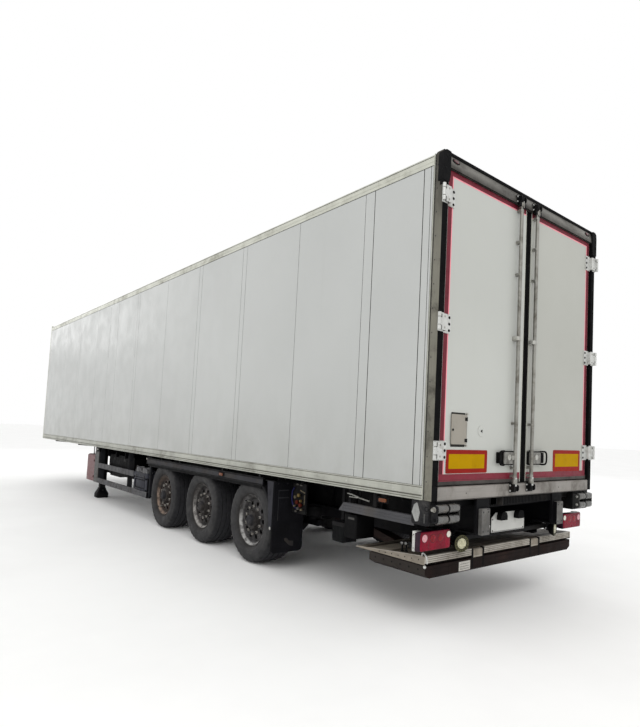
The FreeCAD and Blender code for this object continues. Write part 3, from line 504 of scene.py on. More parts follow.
M["buffer"] = coated("buffer_block", "62615f", 0.68, var=0.3, scale=9, grime="55524e", amount=0.6, gscale=14, grain=300, bump=0.4)
M["outrail"] = coated("rear_guard_paint", "434346", 0.55, 0.15, var=0.2, scale=3, grime="4a4642", amount=0.5, gscale=3, bump=0.25, chips="4a3022")
M["post_dark"] = coated("guard_post", "26272a", 0.55, 0.2, var=0.2, scale=5, grime="3c3936", amount=0.45, gscale=4, bump=0.2)
M["chock"] = coated("chock_plastic", "6a6a6c", 0.6, var=0.2, scale=12, grime="2d2b29", amount=0.5, gscale=9, bump=0.25)
M["battery"] = coated("battery_moulding", "0f1011", 0.6, var=0.16, scale=7, grime="232323", amount=0.45, gscale=5, grain=700, bump=0.3)
M["flap"] = coated("flap_rubber", "141417", 0.75, var=0.25, scale=4, grime="1d1c20", amount=0.5, gscale=4, streak=0.3, grain=700, bump=0.35)
M["strap"] = coated("flap_strap", "35353a", 0.6, 0.1, var=0.2, scale=5, grime="232225", amount=0.5, gscale=5, bump=0.25)
# darkened copies of the knob, coupling, strip and pipe colours for the valve panel under the body: painted shade
M["knob_shaded"] = coated("coupling_painted_shade", "4a4743", 0.55, var=0.2, scale=30, grime="1c1a18", amount=0.5, gscale=20)
M["cream_shaded"] = coated("knob_cream_painted_shade", "5e5644", 0.55, var=0.2, scale=30, grime="2b241c", amount=0.5, gscale=24)
M["yellow_shaded"] = coated("knob_yellow_painted_shade", "5c4c26", 0.55, var=0.2, scale=30, grime="2b2416", amount=0.5, gscale=24)
M["orange_shaded"] = coated("knob_red_painted_shade", "4a190f", 0.55, var=0.2, scale=30, grime="2b120c", amount=0.5, gscale=24)
M["blue_dim"] = coated("pipe_blue_painted_shade", "23244a", 0.5, var=0.2, scale=30, grime="14142a", amount=0.4, gscale=20)
M["housing"] = coated("housing_paint", "232325", 0.5, 0.1, var=0.25, scale=5, grime="5a5855", amount=0.55, gscale=5, streak=0.3, bump=0.25, chips="3a2a20")
# pale patch for the dock buffer housing's outer wall: painted highlight
M["facet"] = coated("housing_painted_highlight", "8f908e", 0.5, 0.15, var=0.18, scale=9, grime="4c4b49", amount=0.4, gscale=8, bump=0.2)
M["lamp_body"] = coated("lamp_back", "2a1a26", 0.45, var=0.25, scale=9, grime="141014", amount=0.4, gscale=9, bump=0.2, Coat_Weight=0.2)
M["lens_deep"] = coated("deep_red_lens", "7d0618", 0.2, var=0.25, scale=20, grime="c01030", amount=0.4, gscale=30, grain=240, bump=0.15, Coat_Weight=0.1, Coat_Roughness=0.2, Specular_IOR_Level=0.15)
M["lamp_bracket"] = coated("lamp_bracket", "bcbcb8", 0.42, 0.35, var=0.12, scale=12, grime="6b675f", amount=0.4, gscale=10, bump=0.14)
M["lens_clear_dim"] = coated("plate_lamp_window", "8e8a7c", 0.3, var=0.15, scale=60, grain=300, bump=0.2, Coat_Weight=0.4)
M["work_ring"] = coated("work_lamp_rim", "4b4930", 0.5, 0.1, var=0.25, scale=40, grime="23221a", amount=0.5, gscale=30, bump=0.3)
M["lift_groove"] = coated("lift_groove", "15110f", 0.7, var=0.2, scale=5, grime="221b18", amount=0.4, gscale=5, bump=0.2)
M["stow"] = coated("stowage_black", "0a0a0b", 0.6, var=0.2, scale=5, grime="161516", amount=0.4, gscale=4, grain=700, bump=0.2)
M["cast"] = coated("handle_casting", "7d7c77", 0.5, 0.3, var=0.2, scale=18, grime="35322e", amount=0.5, gscale=16, bump=0.2)
M["groove"] = coated("rail_groove", "5b5a52", 0.6, 0.2, var=0.2, scale=3, grime="35342f", amount=0.5, gscale=3)
# the tip's deck colour painted darker for its rear planks: painted shade from the bar and body above
M["grip_mid"] = coated("lift_deck_painted_shade", "6e665a", 0.6, 0.3, var=0.16, scale=3, grime="3a3129", amount=0.65, gscale=2.4, grain=140, bump=0.4)
M["nut"] = coated("wheel_nut", "9d9993", 0.42, 0.4, var=0.2, scale=30, grime="3a332d", amount=0.45, gscale=22, bump=0.15)
M["grip_dark"] = coated("lift_deck_dark", "4b433a", 0.62, 0.25, var=0.18, scale=3, grime="241e19", amount=0.6, gscale=2.4, grain=140, bump=0.4)
M["tip_side"] = coated("tip_side", "847c70", 0.5, 0.3, var=0.16, scale=3, grime="3d352d", amount=0.5, gscale=3, brush=(0.03, 1, 1), bump=0.2)
M["lift_low"] = coated("lift_low_paint", "1b1413", 0.6, 0.05, var=0.35, scale=2.2, grime="33241f", amount=0.5, gscale=2.0, streak=0.25, bump=0.3, chips="4a2c22")
M["label_band"] = coated("label_marks", "6f6d69", 0.6, var=0.3, scale=60, grime="a5a29b", amount=0.5, gscale=60, bump=0.05)
M["unit"] = coated("unit_cover", "cfd1cf", 0.38, var=0.04, scale=1.2, grime="8f8c84", amount=0.25, streak=0.18, bump=0.08, Coat_Weight=0.3)
M["blue"] = coated("knob_blue", "1c2258", 0.4, var=0.1, scale=30)
M["yellow"] = coated("knob_yellow", "7d6826", 0.4, var=0.1, scale=30, grime="7c6a35", amount=0.4, gscale=20)
M["orange"] = coated("knob_red", "6a2015", 0.4, var=0.1, scale=30, grime="5d2a1f", amount=0.4, gscale=20)


def dress(node, key):
    o = NODES[node]
    o.data.materials.clear()
    o.data.materials.append(M[key] if isinstance(key, str) else key)

# =====================================================================
# insulated body
# =====================================================================
SIDES = (("left", 1), ("right", -1))
# stations of the joints between side skins; True marks the dark ones
SEAMS = [(0.13, False), (0.21, True), (0.83, True), (0.96, False), (2.05, False), (3.20, False), (3.30, False), (4.45, False), (4.55, False),
         (5.68, False), (6.90, False), (7.00, False), (8.00, False), (8.47, False), (9.25, False), (10.50, False), (10.62, False), (11.75, False), (12.90, False)]
for side, s in SIDES:
    k = Kit("side_skin_" + side, slot="body_white")
    k.side = s
    k.use(M["rail_dark"]).box(st(0.10), st(13.335), 1.240, 1.2956, 1.165, 3.807, 0)
    edges = [(0.104, 0.001)] + [(x, 0.0042 if dark else 0.0026) for x, dark in SEAMS] + [(13.333, 0.001)]
    k.use(M["white"])
    for (a, ga), (c, gc) in zip(edges, edges[1:]):
        k.box(st(a + ga), st(c - gc), 1.290, 1.297, 1.1655, 3.8065, 0.0012)
    # inner skin and the kick strip at the floor
    k.use(M["inner"]).box(st(0.104), st(13.335), 1.237, 1.2405, 1.20, 3.806, 0)
    k.use(M["rail"]).prism([(1.222, 1.201), (1.2375, 1.201), (1.2375, 1.52), (1.233, 1.52), (1.231, 1.26)], "X", st(0.11), st(13.33), 0)
    k.done("side_wall_" + side)

# top rails: extrusion with a flat face, a step and a rolled edge
k = Kit("top_rail_extrusions", slot="rail_alloy")
for side, s in SIDES:
    k.side = s
    k.use(M["rail"]).prism([(1.237, 3.807), (1.2985, 3.807), (1.2985, 3.8125), (1.3, 3.8135), (1.3, 3.836), (1.2975, 3.838), (1.2975, 3.842), (1.3, 3.844),
                            (1.3, 3.880), (1.297, 3.883), (1.297, 3.888), (1.294, 3.891), (1.290, 3.902), (1.280, 3.911), (1.262, 3.915), (1.237, 3.915)], "X", st(0.1), st(13.335))
    k.use(M["rail_dark"]).box(st(0.101), st(13.33), 1.2965, 1.2988, 3.8836, 3.8872, 0)
    k.use(M["seal"]).box(st(0.101), st(13.33), 1.2925, 1.2990, 3.8055, 3.8090, 0)
    k.use(M["rail"])
    for i in range(42):
        k.dome((st(0.22 + 0.314 * i), 1.3 - 0.0022, 3.862), (0, 1, 0), 0.006, 0.002, 8)
k.done("top_rails")

# bottom rails: riveted band, ridge and lip
k = Kit("bottom_rail_extrusions", slot="rail_alloy")
for side, s in SIDES:
    k.side = s
    k.use(M["rail_low"]).prism([(1.237, 1.050), (1.2985, 1.050), (1.3, 1.0515), (1.3, 1.0575), (1.2965, 1.0605), (1.2955, 1.068), (1.2995, 1.0715), (1.2995, 1.0775), (1.2955, 1.081),
                            (1.2940, 1.090), (1.2965, 1.094), (1.2975, 1.098), (1.2975, 1.147), (1.2965, 1.152), (1.2985, 1.156), (1.2985, 1.165), (1.237, 1.165)], "X", st(0.1), st(13.335))
    k.use(M["seal"]).box(st(0.101), st(13.33), 1.2925, 1.2980, 1.1635, 1.1668, 0)
    k.use(M["groove"])
    k.box(st(0.101), st(13.33), 1.2930, 1.2966, 1.0815, 1.0900, 0)
    k.box(st(0.101), st(13.33), 1.2930, 1.2962, 1.0612, 1.0675, 0)
    k.box(st(0.101), st(13.33), 1.2940, 1.2978, 1.1490, 1.1545, 0)
    k.use(M["galv"])
    for i in range(42):
        k.dome((st(0.119 + 0.314 * i), 1.2975, 1.116), (0, 1, 0), 0.0085, 0.0024, 12)
k.done("bottom_rails")

# roof: cambered edge panels with joint strips
k = Kit("roof_skin", slot="body_white")
k.use(M["roof"])
for a, c in zip([0.102, 2.30, 4.50, 6.70, 8.90, 11.10], [2.30, 4.50, 6.70, 8.90, 11.10, 13.333]):
    k.prism([(-1.237, 3.853), (1.237, 3.853), (1.237, 3.913), (1.232, 3.9165), (1.147, 3.948), (-1.147, 3.948), (-1.232, 3.9165), (-1.237, 3.913)], "X", st(a + 0.002), st(c - 0.002), 0.0015)
k.use(M["rail"])
for x in (2.30, 4.50, 6.70, 8.90, 11.10):
    k.box(st(x - 0.03), st(x + 0.03), -1.145, 1.145, 3.944, 3.9498, 0.0015)
    for i in range(12):
        k.dome((st(x - 0.018), -1.1 + 0.2 * i, 3.9485), (0, 0, 1), 0.004, 0.0014, 8)
        k.dome((st(x + 0.018), -1.1 + 0.2 * i, 3.9485), (0, 0, 1), 0.004, 0.0014, 8)
k.use(M["inner"]).box(st(0.102), st(13.333), -1.2365, 1.2365, 3.850, 3.8535, 0)
k.done("roof_panel")

# floor: ribbed planks on the insulated slab
k = Kit("floor_planks", slot="rail_alloy")
k.use(M["dusty"]).box(st(0.1), st(13.335), -1.237, 1.237, 1.060, 1.1940, 0.001)
k.use(M["grip"])
for i in range(16):
    y = -1.216 + 0.152 * i
    k.box(st(0.102), st(13.33), y + 0.001, y + 0.151, 1.1935, 1.1975, 0.0008)
    for j in range(5):
        k.box(st(0.106), st(13.32), y + 0.014 + 0.030 * j, y + 0.022 + 0.030 * j, 1.197, 1.2, 0.0006)
k.use(M["chassis"])
for i in range(44):      # cross bearers under the floor
    x = 0.35 + 0.295 * i
    k.box(st(x), st(x + 0.05), -1.236, 1.236, 1.0602, 1.0605, 0)
k.done("floor_panel")

# front wall with corner profiles and a raised frame round the cooling unit
k = Kit("front_wall_skin", slot="body_white")
k.use(M["white"]).box(st(13.337), st(13.392), -1.290, 1.290, 1.062, 3.930, 0.004)
k.use(M["inner"]).box(st(13.335), st(13.3375), -1.236, 1.236, 1.2, 3.85, 0)
k.use(M["rail"])
for s in (1, -1):
    k.side = s
    k.prism(rounded([(st(13.336), 1.237), (st(13.4), 1.237), (st(13.4), 1.297), (st(13.336), 1.297)], [0, 0, 0.022, 0], 5), "Z", 1.060, 3.934, 0.001)
    for i in range(28):
        k.dome((st(13.3995), 1.262, 1.15 + 0.1 * i), (1, 0, 0), 0.005, 0.0004, 8)
k.side = 1
k.box(st(13.336), st(13.4), -1.237, 1.237, 1.060, 1.175, 0.003)
k.prism([(st(13.336), 3.86), (st(13.4), 3.86), (st(13.4), 3.915), (st(13.38), 3.937), (st(13.336), 3.937)], "Y", -1.237, 1.237, 0.002)
k.use(M["seal"]).box(st(13.392), st(13.396), -1.06, 1.06, 1.74, 3.80, 0.001)
k.done("front_wall")

# cooling unit: base frame, grilles, doors, fans in the top half
k = Kit("cooling_unit", slot="unit_white")
x0, x1 = st(13.40), st(13.8115)
k.use(M["plastic_black"]).prism([(x0, 1.78), (x1 - 0.13, 1.78), (x1 - 0.04, 1.89), (x1 - 0.04, 3.60), (x1 - 0.12, 3.73), (x0, 3.73)], "Y", -1.0, 1.0, 0.004)
k.use(M["unit"])
for s in (1, -1):
    k.side = s
    cheek = rounded([(x0, 1.78), (x1 - 0.10, 1.78), (x1, 1.90), (x1, 3.60), (x1 - 0.09, 3.76), (x0, 3.76)], [0, 0.03, 0.05, 0.06, 0.05, 0], 4)
    k.prism(cheek, "Y", 0.985, 1.03, 0.008, 2)
    k.box(x1 - 0.05, x1 - 0.004, 0.03, 0.98, 1.93, 2.62, 0.012, 2)      # lower service doors
    k.box(x1 - 0.05, x1 - 0.006, 0.70, 0.98, 2.66, 3.56, 0.010, 2)
k.side = 1
k.box(x1 - 0.05, x1 - 0.006, -0.69, 0.69, 2.66, 2.76, 0.008, 2)
k.box(x1 - 0.05, x1 - 0.006, -0.69, 0.69, 3.46, 3.56, 0.008, 2)
k.prism(rounded([(x0, 3.66), (x1 - 0.10, 3.62), (x1 - 0.09, 3.757), (x0, 3.757)], [0, 0.02, 0.05, 0], 4), "Y", -0.984, 0.984, 0.004)
k.prism(rounded([(x0, 1.79), (x1 - 0.11, 1.785), (x1 - 0.015, 1.90), (x0, 1.90)], [0, 0.02, 0.04, 0], 4), "Y", -0.984, 0.984, 0.004)
k.use(M["plastic_black"])
for i in range(22):       # condenser slats
    z = 2.78 + 0.031 * i
    k.box(x1 - 0.03, x1 - 0.012, -0.685, 0.685, z, z + 0.012, 0.002, 1, Matrix.Rotation(math.radians(28), 3, "Y"))
for y in (-0.345, 0.345):
    k.lathe([(0, 0.285), (0.012, 0.29), (0.016, 0.30), (0.012, 0.31), (0, 0.31)], (x1 - 0.034, y, 3.11), (1, 0, 0), 40, closed=True)
k.use(M["dusty"])
for y in (-0.5, 0.5):
    k.lathe([(-0.002, 0), (-0.002, 0.028), (0.003, 0.028), (0.004, 0.020), (0.004, 0)], (x1 - 0.004, y, 2.30), (1, 0, 0), 20)
    for i in range(9):
        k.box(x1 - 0.006, x1 - 0.0015, y - 0.28, y + 0.28, 2.00 + 0.022 * i, 2.011 + 0.022 * i, 0.001)
for s in (1, -1):
    for z in (2.0, 2.3, 2.55, 2.8, 3.1, 3.4):
        k.side = s
        k.dome((x1 - 0.25, 1.0285, z), (0, 1, 0), 0.008, 0.0012, 8)
k.side = 1
k.done("refrigeration_unit")

# =====================================================================
# rear frame
# =====================================================================
k = Kit("rear_post_profiles", slot="portal_steel")
for side, s in SIDES:
    k.side = s
    k.use(M["seal"]).prism([(st(0.0), 1.224), (st(0.0), 1.286), (st(0.004), 1.290), (st(0.03), 1.290), (st(0.03), 1.224)], "Z", 1.052, 3.90, 0.001)
    k.prism([(st(0.03), 1.224), (st(0.03), 1.284), (st(0.1), 1.284), (st(0.1), 1.224)], "Z", 1.052, 3.91, 0)
    k.use(M["post"]).prism(rounded([(st(0.003), 1.2775), (st(0.003), 1.297), (st(0.078), 1.297), (st(0.078), 1.2775)], [0.001, 0.006, 0.003, 0], 3), "Z", 1.052, 3.908, 0.0008)
    k.use(M["rail"]).prism([(st(0.094), 1.24), (st(0.094), 1.2965), (st(0.1), 1.2965), (st(0.1), 1.24)], "Z", 1.052, 3.908, 0)
    for i in range(14):
        k.use(M["dusty"]).dome((st(0.058), 1.297 - 0.0004, 1.20 + 0.2 * i), (0, 1, 0), 0.006, 0.002, 10)
    # ribs of the black gasket beside the doors
    k.use(M["rubber"])
    for y in (1.229, 1.243, 1.257, 1.271):
        k.box(st(-0.0025), st(0.001), y, y + 0.006, 1.17, 3.66, 0.0010)
    # corner cap: rubber moulding with a slanted inner edge
    cap = rounded([(1.222, 3.918), (1.2345, 3.70), (1.243, 3.655), (1.306, 3.655), (1.306, 3.846), (1.299, 3.900), (1.272, 3.919)], [0, 0.02, 0.008, 0.006, 0.03, 0.02, 0.02], 3)
    k.prism(cap, "X", st(-0.011), st(0.046), 0.004, 2)
    face = rounded([(1.2135, 3.916), (1.2135, 3.72), (1.226, 3.656), (1.300, 3.656), (1.300, 3.890), (1.272, 3.916)], [0.004, 0.03, 0.008, 0.006, 0.02, 0.02], 3)
    k.prism(face, "X", st(-0.0114), st(0.003), 0.003, 2)
    k.prism(rounded([(st(-0.008), 1.246), (st(0.03), 1.246), (st(0.03), 1.303), (st(-0.008), 1.303)], 0.008, 3), "Z", 3.62, 3.66, 0.003)
    k.use(M["black"]).bolt((st(-0.011), 1.272, 3.76), (-1, 0, 0), 0.008, 0.003)
    k.bolt((st(-0.011), 1.265, 3.87), (-1, 0, 0), 0.008, 0.003)
k.side = 1
k.done("rear_posts")

k = Kit("rear_header_cover", slot="portal_steel")
k.use(M["header"]).prism([(st(0.0005), 3.7905), (st(0.0), 3.794), (st(0.002), 3.815), (st(0.007), 3.845), (st(0.014), 3.875), (st(0.0225), 3.902), (st(0.06), 3.902), (st(0.06), 3.7905)], "Y", -1.2235, 1.2235, 0)
k.use(M["rubber"]).prism(rounded([(st(0.021), 3.900), (st(0.012), 3.908), (st(0.012), 3.926), (st(0.024), 3.936), (st(0.099), 3.936), (st(0.099), 3.900)], [0.003, 0.006, 0.008, 0.006, 0, 0], 3), "Y", -1.262, 1.262, 0)
k.use(M["black"]).box(st(0.055), st(0.1), -1.2215, 1.2215, 3.790, 3.904, 0.001)
k.use(M["seal"]).box(st(0.0), st(0.006), -1.2215, 1.2215, 3.787, 3.792, 0.001)
for y in (1.125, -1.125):      # marker lamps in the cover
    n = Vector((-0.94, 0, 0.34)).normalized()
    for mat, r, h in (("rubber", 0.036, 0.004), ("lens_dark", 0.027, 0.008)):
        k.use(M[mat])
        pts = []
        for a, q in [(-0.001, 1.0), (h * 0.5, 0.97), (h, 0.8)]:
            pts.append((a, r * q))
        c = Vector((st(0.0118), y, 3.868))
        bm = bmesh.new()
        rings = []
        t = Vector((0, 1, 0))
        w = n.cross(t)
        for a, q in pts:
            rings.append([bm.verts.new(c + n * a + t * math.cos(g) * q * 1.35 + w * math.sin(g) * q * 0.62) for g in (2 * math.pi * i / 24 for i in range(24))])
        for p, q in zip(rings, rings[1:]):
            for i in range(24):
                bm.faces.new((p[i], p[(i + 1) % 24], q[(i + 1) % 24], q[i]))
        bm.faces.new(rings[0])
        bm.faces.new(rings[-1])
        bmesh.ops.recalc_face_normals(bm, faces=bm.faces[:])
        k.add(bm)
BARS = (("left", 1, 0.190), ("right", -1, -0.082))


def keeper(k, y, z0, z1, wall, up):
    """The fixed jaw that a lock bar's cam turns into: base plate, two cheeks, bolts."""
    zm = (z0 + z1) / 2
    k.use(M["black"]).box(st(wall - 0.006), st(wall + 0.004), y - 0.056, y + 0.056, z0 - 0.012, z1 + 0.012, 0.003)
    for d in (-0.040, 0.028):
        cheek = rounded([(st(wall), z0), (st(-0.036), z0), (st(-0.0455), z0 + 0.014), (st(-0.0455), z1 - 0.014), (st(-0.036), z1), (st(wall), z1)], [0, 0.006, 0.006, 0.006, 0.006, 0], 2)
        k.prism(cheek, "Y", y + d, y + d + 0.012, 0.0015)
    k.use(M["hinge"])
    for d in (-0.048, 0.048):
        k.bolt((st(wall - 0.006), y + d, zm + 0.024), (-1, 0, 0), 0.006, 0.006)
        k.bolt((st(wall - 0.006), y + d, zm - 0.024), (-1, 0, 0), 0.006, 0.006)


for name, s, y in BARS:
    keeper(k, y, 3.804, 3.864, 0.004, 1)
k.done("rear_header")

k = Kit("rear_sill_profile", slot="stainless")
k.use(M["sill"]).prism(rounded([(st(0.0), 1.052), (st(0.0), 1.155), (st(0.008), 1.160), (st(0.1), 1.160), (st(0.1), 1.052)], [0.004, 0.004, 0.004, 0, 0], 2), "Y", -1.2215, 1.2215, 0.001)
k.use(M["black"]).box(st(0.004), st(0.1), -1.2215, 1.2215, 1.050, 1.0535, 0)
for y in (0.86, -0.62):
    k.use(M["seal"]).lathe([(-0.0012, 0), (-0.0012, 0.005), (0.001, 0.006), (0.001, 0)], (st(0.0), y, 1.10), (1, 0, 0), 12)
for name, s, y in BARS:
    keeper(k, y, 1.091, 1.151, 0.0, 1)
k.done("rear_sill")

HINGE_Z = (1.452, 2.489, 3.550)
k = Kit("hinge_straps", slot="stainless")
for side, s in SIDES:
    k.side = s
    for z in HINGE_Z:
        # plate on the post, two ears with their knuckles, the pin and its cap
        k.use(M["hinge"]).prism(rounded([(1.2285, z - 0.0775), (1.2955, z - 0.0775), (1.2955, z + 0.0775), (1.2285, z + 0.0775)], 0.006, 3), "X", st(-0.0058), st(0.0005), 0.0012)
        for z0 in (z - 0.071, z + 0.036):
            k.use(M["hinge"])
            k.prism(rounded([(st(-0.024), 1.2865), (st(-0.024), 1.3005), (st(-0.004), 1.2965), (st(-0.004), 1.284)], [0, 0, 0, 0.003], 2), "Z", z0 + 0.0005, z0 + 0.0345, 0.0012)
            k.lathe([(0, 0), (0, 0.0125), (0.0015, 0.0139), (0.0335, 0.0139), (0.035, 0.0125), (0.035, 0)], (st(-0.024), 1.3, z0), (0, 0, 1), 24)
            k.use(M["black"]).bolt((st(-0.0058), 1.262, z0 + 0.0175), (-1, 0, 0), 0.006, 0.0045)
            k.bolt((st(-0.0058), 1.240, z0 + 0.0175), (-1, 0, 0), 0.006, 0.0045)
        k.use(M["galv"]).lathe([(0, 0), (0, 0.007), (0.072, 0.007), (0.072, 0)], (st(-0.024), 1.3, z - 0.036), (0, 0, 1), 16)
        k.use(M["seal"]).dome((st(-0.024), 1.3, z + 0.0708), (0, 0, 1), 0.0085, 0.0025, 16)
k.side = 1
k.done("hinge_brackets")

# =====================================================================
# rear doors
# =====================================================================
for side, s in SIDES:
    body = "door_" + side
    k = Kit("rear_door_%s_panel" % side, body, "body_white")
    k.side = s
    k.dx = 0.028             # the door stands back in its frame
    d0, d1 = 0.006, 1.217
    low, high = 1.166, 3.784
    # the right door takes the darker copy of the door white: painted shade
    k.use(M["door"] if s > 0 else M["door_far"])
    front = [(d0 + 0.038, low + 0.010), (d1 - 0.020, low + 0.010), (d1 - 0.020, high - 0.0005), (d0 + 0.038, high - 0.0005)]
    k.prism(front, "X", st(-0.0055), st(0.030), 0.0025)
    k.use(M["inner"]).box(st(0.028), st(0.0655), d0 + 0.030, d1 - 0.028, low + 0.03, high - 0.028, 0.010, 2)
    # edge gaskets
    k.use(M["seal"])
    for a, c, e, g in ((d1 - 0.021, d1, low, high), (d0 + 0.030, d1, low, low + 0.012), (d0 + 0.030, d1, high - 0.010, high)):
        k.box(st(-0.003), st(0.060), a, c, e, g, 0.002)
    for r in (0.004, 0.018, 0.032, 0.046):
        k.box(st(r), st(r + 0.008), d1 - 0.006, d1 + 0.003, low + 0.02, high - 0.02, 0.002)
    # centre gasket, ribbed and set back
    k.box(st(0.002), st(0.062), d0, d0 + 0.040, low, high, 0.003)
    for y in (0.0, 0.013, 0.026):
        k.prism(rounded([(st(-0.003), d0 + y), (st(0.006), d0 + y), (st(0.006), d0 + y + 0.010), (st(-0.003), d0 + y + 0.010)], 0.003, 3), "Z", low + 0.002, high - 0.002, 0)
    k.use(M["rail"]).box(st(-0.0058), st(0.004), d0 + 0.0385, d0 + 0.050, low + 0.006, high - 0.006, 0.0012)
    # grey foot profile over the bottom edge
    k.use(M["footseal"]).prism([(st(-0.0058), low + 0.004), (st(-0.006), low + 0.040), (st(-0.002), low + 0.046), (st(0.006), low + 0.046), (st(0.006), low + 0.002)], "Y", d0 + 0.046, d1 - 0.002, 0.001)
    k.use(M["rail_dark"]).box(st(-0.0062), st(0.0), d0 + 0.046, d1 - 0.004, low + 0.0435, low + 0.0465, 0.0004)
    # contour tape
    k.use(M["tape_red"])
    tx0, tx1 = st(-0.0061), st(-0.005)
    k.box(tx0, tx1, 1.146, 1.1955, 1.260, 3.7832, 0.0003)
    k.box(tx0, tx1, 0.052, 1.146, 3.742, 3.7832, 0.0003)
    k.use(M["tape_low"]).box(tx0, tx1, 0.052, 1.1955, 1.201, 1.260, 0.0003)
    k.use(M["tape_line"]).box(tx0, tx1, 1.135, 1.146, 1.260, 3.742, 0.0003)
    k.box(tx0, tx1, 0.052, 1.135, 3.731, 3.742, 0.0003)
    # hinge leaves: door plate, web out of the recess, front plate, arm and knuckle
    k.dx = 0.0
    for z in HINGE_Z:
        k.use(M["hinge"])
        k.prism(rounded([(1.1185, z - 0.0795), (1.212, z - 0.0795), (1.212, z + 0.0795), (1.1185, z + 0.0795)], [0.012, 0.0, 0.0, 0.012], 3), "X", st(0.0145), st(0.0225), 0.0016)
        k.prism(rounded([(st(0.021), 1.2015), (st(0.021), 1.2118), (st(-0.0125), 1.2118), (st(-0.0125), 1.2635), (st(-0.0218), 1.2635), (st(-0.0218), 1.2015)], [0, 0, 0.004, 0.002, 0.002, 0.008], 3), "Z", z - 0.067, z + 0.067, 0.0012)
        k.prism([(st(-0.022), 1.260), (st(-0.022), 1.300), (st(-0.0125), 1.300), (st(-0.0125), 1.260)], "Z", z - 0.0295, z + 0.0295, 0.001)
        k.lathe([(0, 0.0075), (0, 0.013), (0.0012, 0.0139), (0.0578, 0.0139), (0.059, 0.013), (0.059, 0.0075)], (st(-0.024), 1.3, z - 0.0295), (0, 0, 1), 24, closed=True)
        k.use(M["black"])
        for dz in (-0.054, 0.0, 0.054):
            k.bolt((st(0.0145), 1.138, z + dz), (-1, 0, 0), 0.0085, 0.006)
        k.use(M["galv"])
        for dz in (-0.046, 0.046):
            k.bolt((st(-0.0218), 1.232, z + dz), (-1, 0, 0), 0.0065, 0.003)
    k.dx = 0.028
    # marking plate: red border, yellow field
    k.use(M["plate_red"])
    a, c, e, g = (0.561, 1.112, 1.265, 1.460) if s > 0 else (0.537, 1.078, 1.258, 1.474)
    k.prism(rounded(rect(a, c, e, g), 0.014, 4), "X", st(-0.0085), st(-0.005), 0.0006)
    a, c, e, g = (0.601, 1.077, 1.303, 1.424) if s > 0 else (0.577, 1.046, 1.304, 1.436)
    k.use(M["plate_yellow"]).prism(rect(a, c, e, g), "X", st(-0.0089), st(-0.0080), 0.0003)
    if s > 0:
        k.use(M["rail_dark"])
        for y in (0.577, 1.097):
            for z in (1.281, 1.444):
                k.dome((st(-0.0085), y, z), (-1, 0, 0), 0.004, 0.0015, 8)
    # inner lining of the door: hinge side frame and pressure seal
    k.use(M["seal"])
    for a, c, e, g in ((d1 - 0.050, d1 - 0.030, low + 0.03, high - 0.03), (d0 + 0.032, d0 + 0.052, low + 0.03, high - 0.03)):
        k.box(st(0.058), st(0.0658), a, c, e, g, 0.004)
    if s > 0:
        # recess, lugs and pins of the hatch, and the small round lock beside it
        k.use(M["rail_dark"]).prism(rounded([(0.880, 1.484), (1.062, 1.484), (1.062, 1.770), (0.880, 1.770)], 0.006, 2), "X", st(-0.0075), st(-0.0052), 0.0006)
        k.use(M["beige"])
        for z0 in (1.489, 1.759):
            k.box(st(-0.022), st(-0.006), 0.858, 0.874, z0, z0 + 0.010, 0.0015)
        k.use(M["galv"])
        k.lathe([(0, 0), (0, 0.003), (0.262, 0.003), (0.262, 0)], (st(-0.016), 0.866, 1.499), (0, 0, 1), 10)
        k.use(M["door"]).lathe([(0, 0), (0, 0.044), (0.001, 0.050), (0.003, 0.050), (0.005, 0.046), (0.005, 0.040), (0.0035, 0.036), (0.0035, 0)][::-1], (st(-0.0052), 0.652, 1.625), (-1, 0, 0), 36)
        k.use(M["black"]).lathe([(0.002, 0), (0.002, 0.017), (0.0065, 0.015), (0.0065, 0)], (st(-0.0052), 0.652, 1.625), (-1, 0, 0), 3)
    k.done("rear_door_" + side)

# vent hatch
k = Kit("vent_hatch", "hatch", "plastic_grey")
k.dx = 0.028
k.use(M["beige"]).prism(rounded([(0.8740, 1.505), (1.068, 1.505), (1.068, 1.755), (0.8740, 1.755)], [0.003, 0.012, 0.012, 0.003], 4), "X", st(-0.0195), st(-0.0122), 0.002, 2)
k.prism(rounded([(0.892, 1.523), (1.050, 1.523), (1.050, 1.737), (0.892, 1.737)], 0.012, 4), "X", st(-0.0200), st(-0.019), 0.0008)
k.use(M["black"])
for z in (1.523, 1.702):
    k.lathe([(0, 0.0032), (0, 0.0065), (0.033, 0.0065), (0.033, 0.0032)], (st(-0.016), 0.866, z), (0, 0, 1), 16, closed=True)
    k.box(st(-0.0215), st(-0.0195), 0.866, 0.898, z + 0.002, z + 0.031, 0.0012)
    k.dome((st(-0.0215), 0.884, z + 0.0165), (-1, 0, 0), 0.004, 0.0015, 8)
k.lathe([(0, 0), (0, 0.011), (0.002, 0.011), (0.0045, 0.008), (0.0045, 0)], (st(-0.0195), 1.050, 1.625), (-1, 0, 0), 18)
k.done("door_hatch")

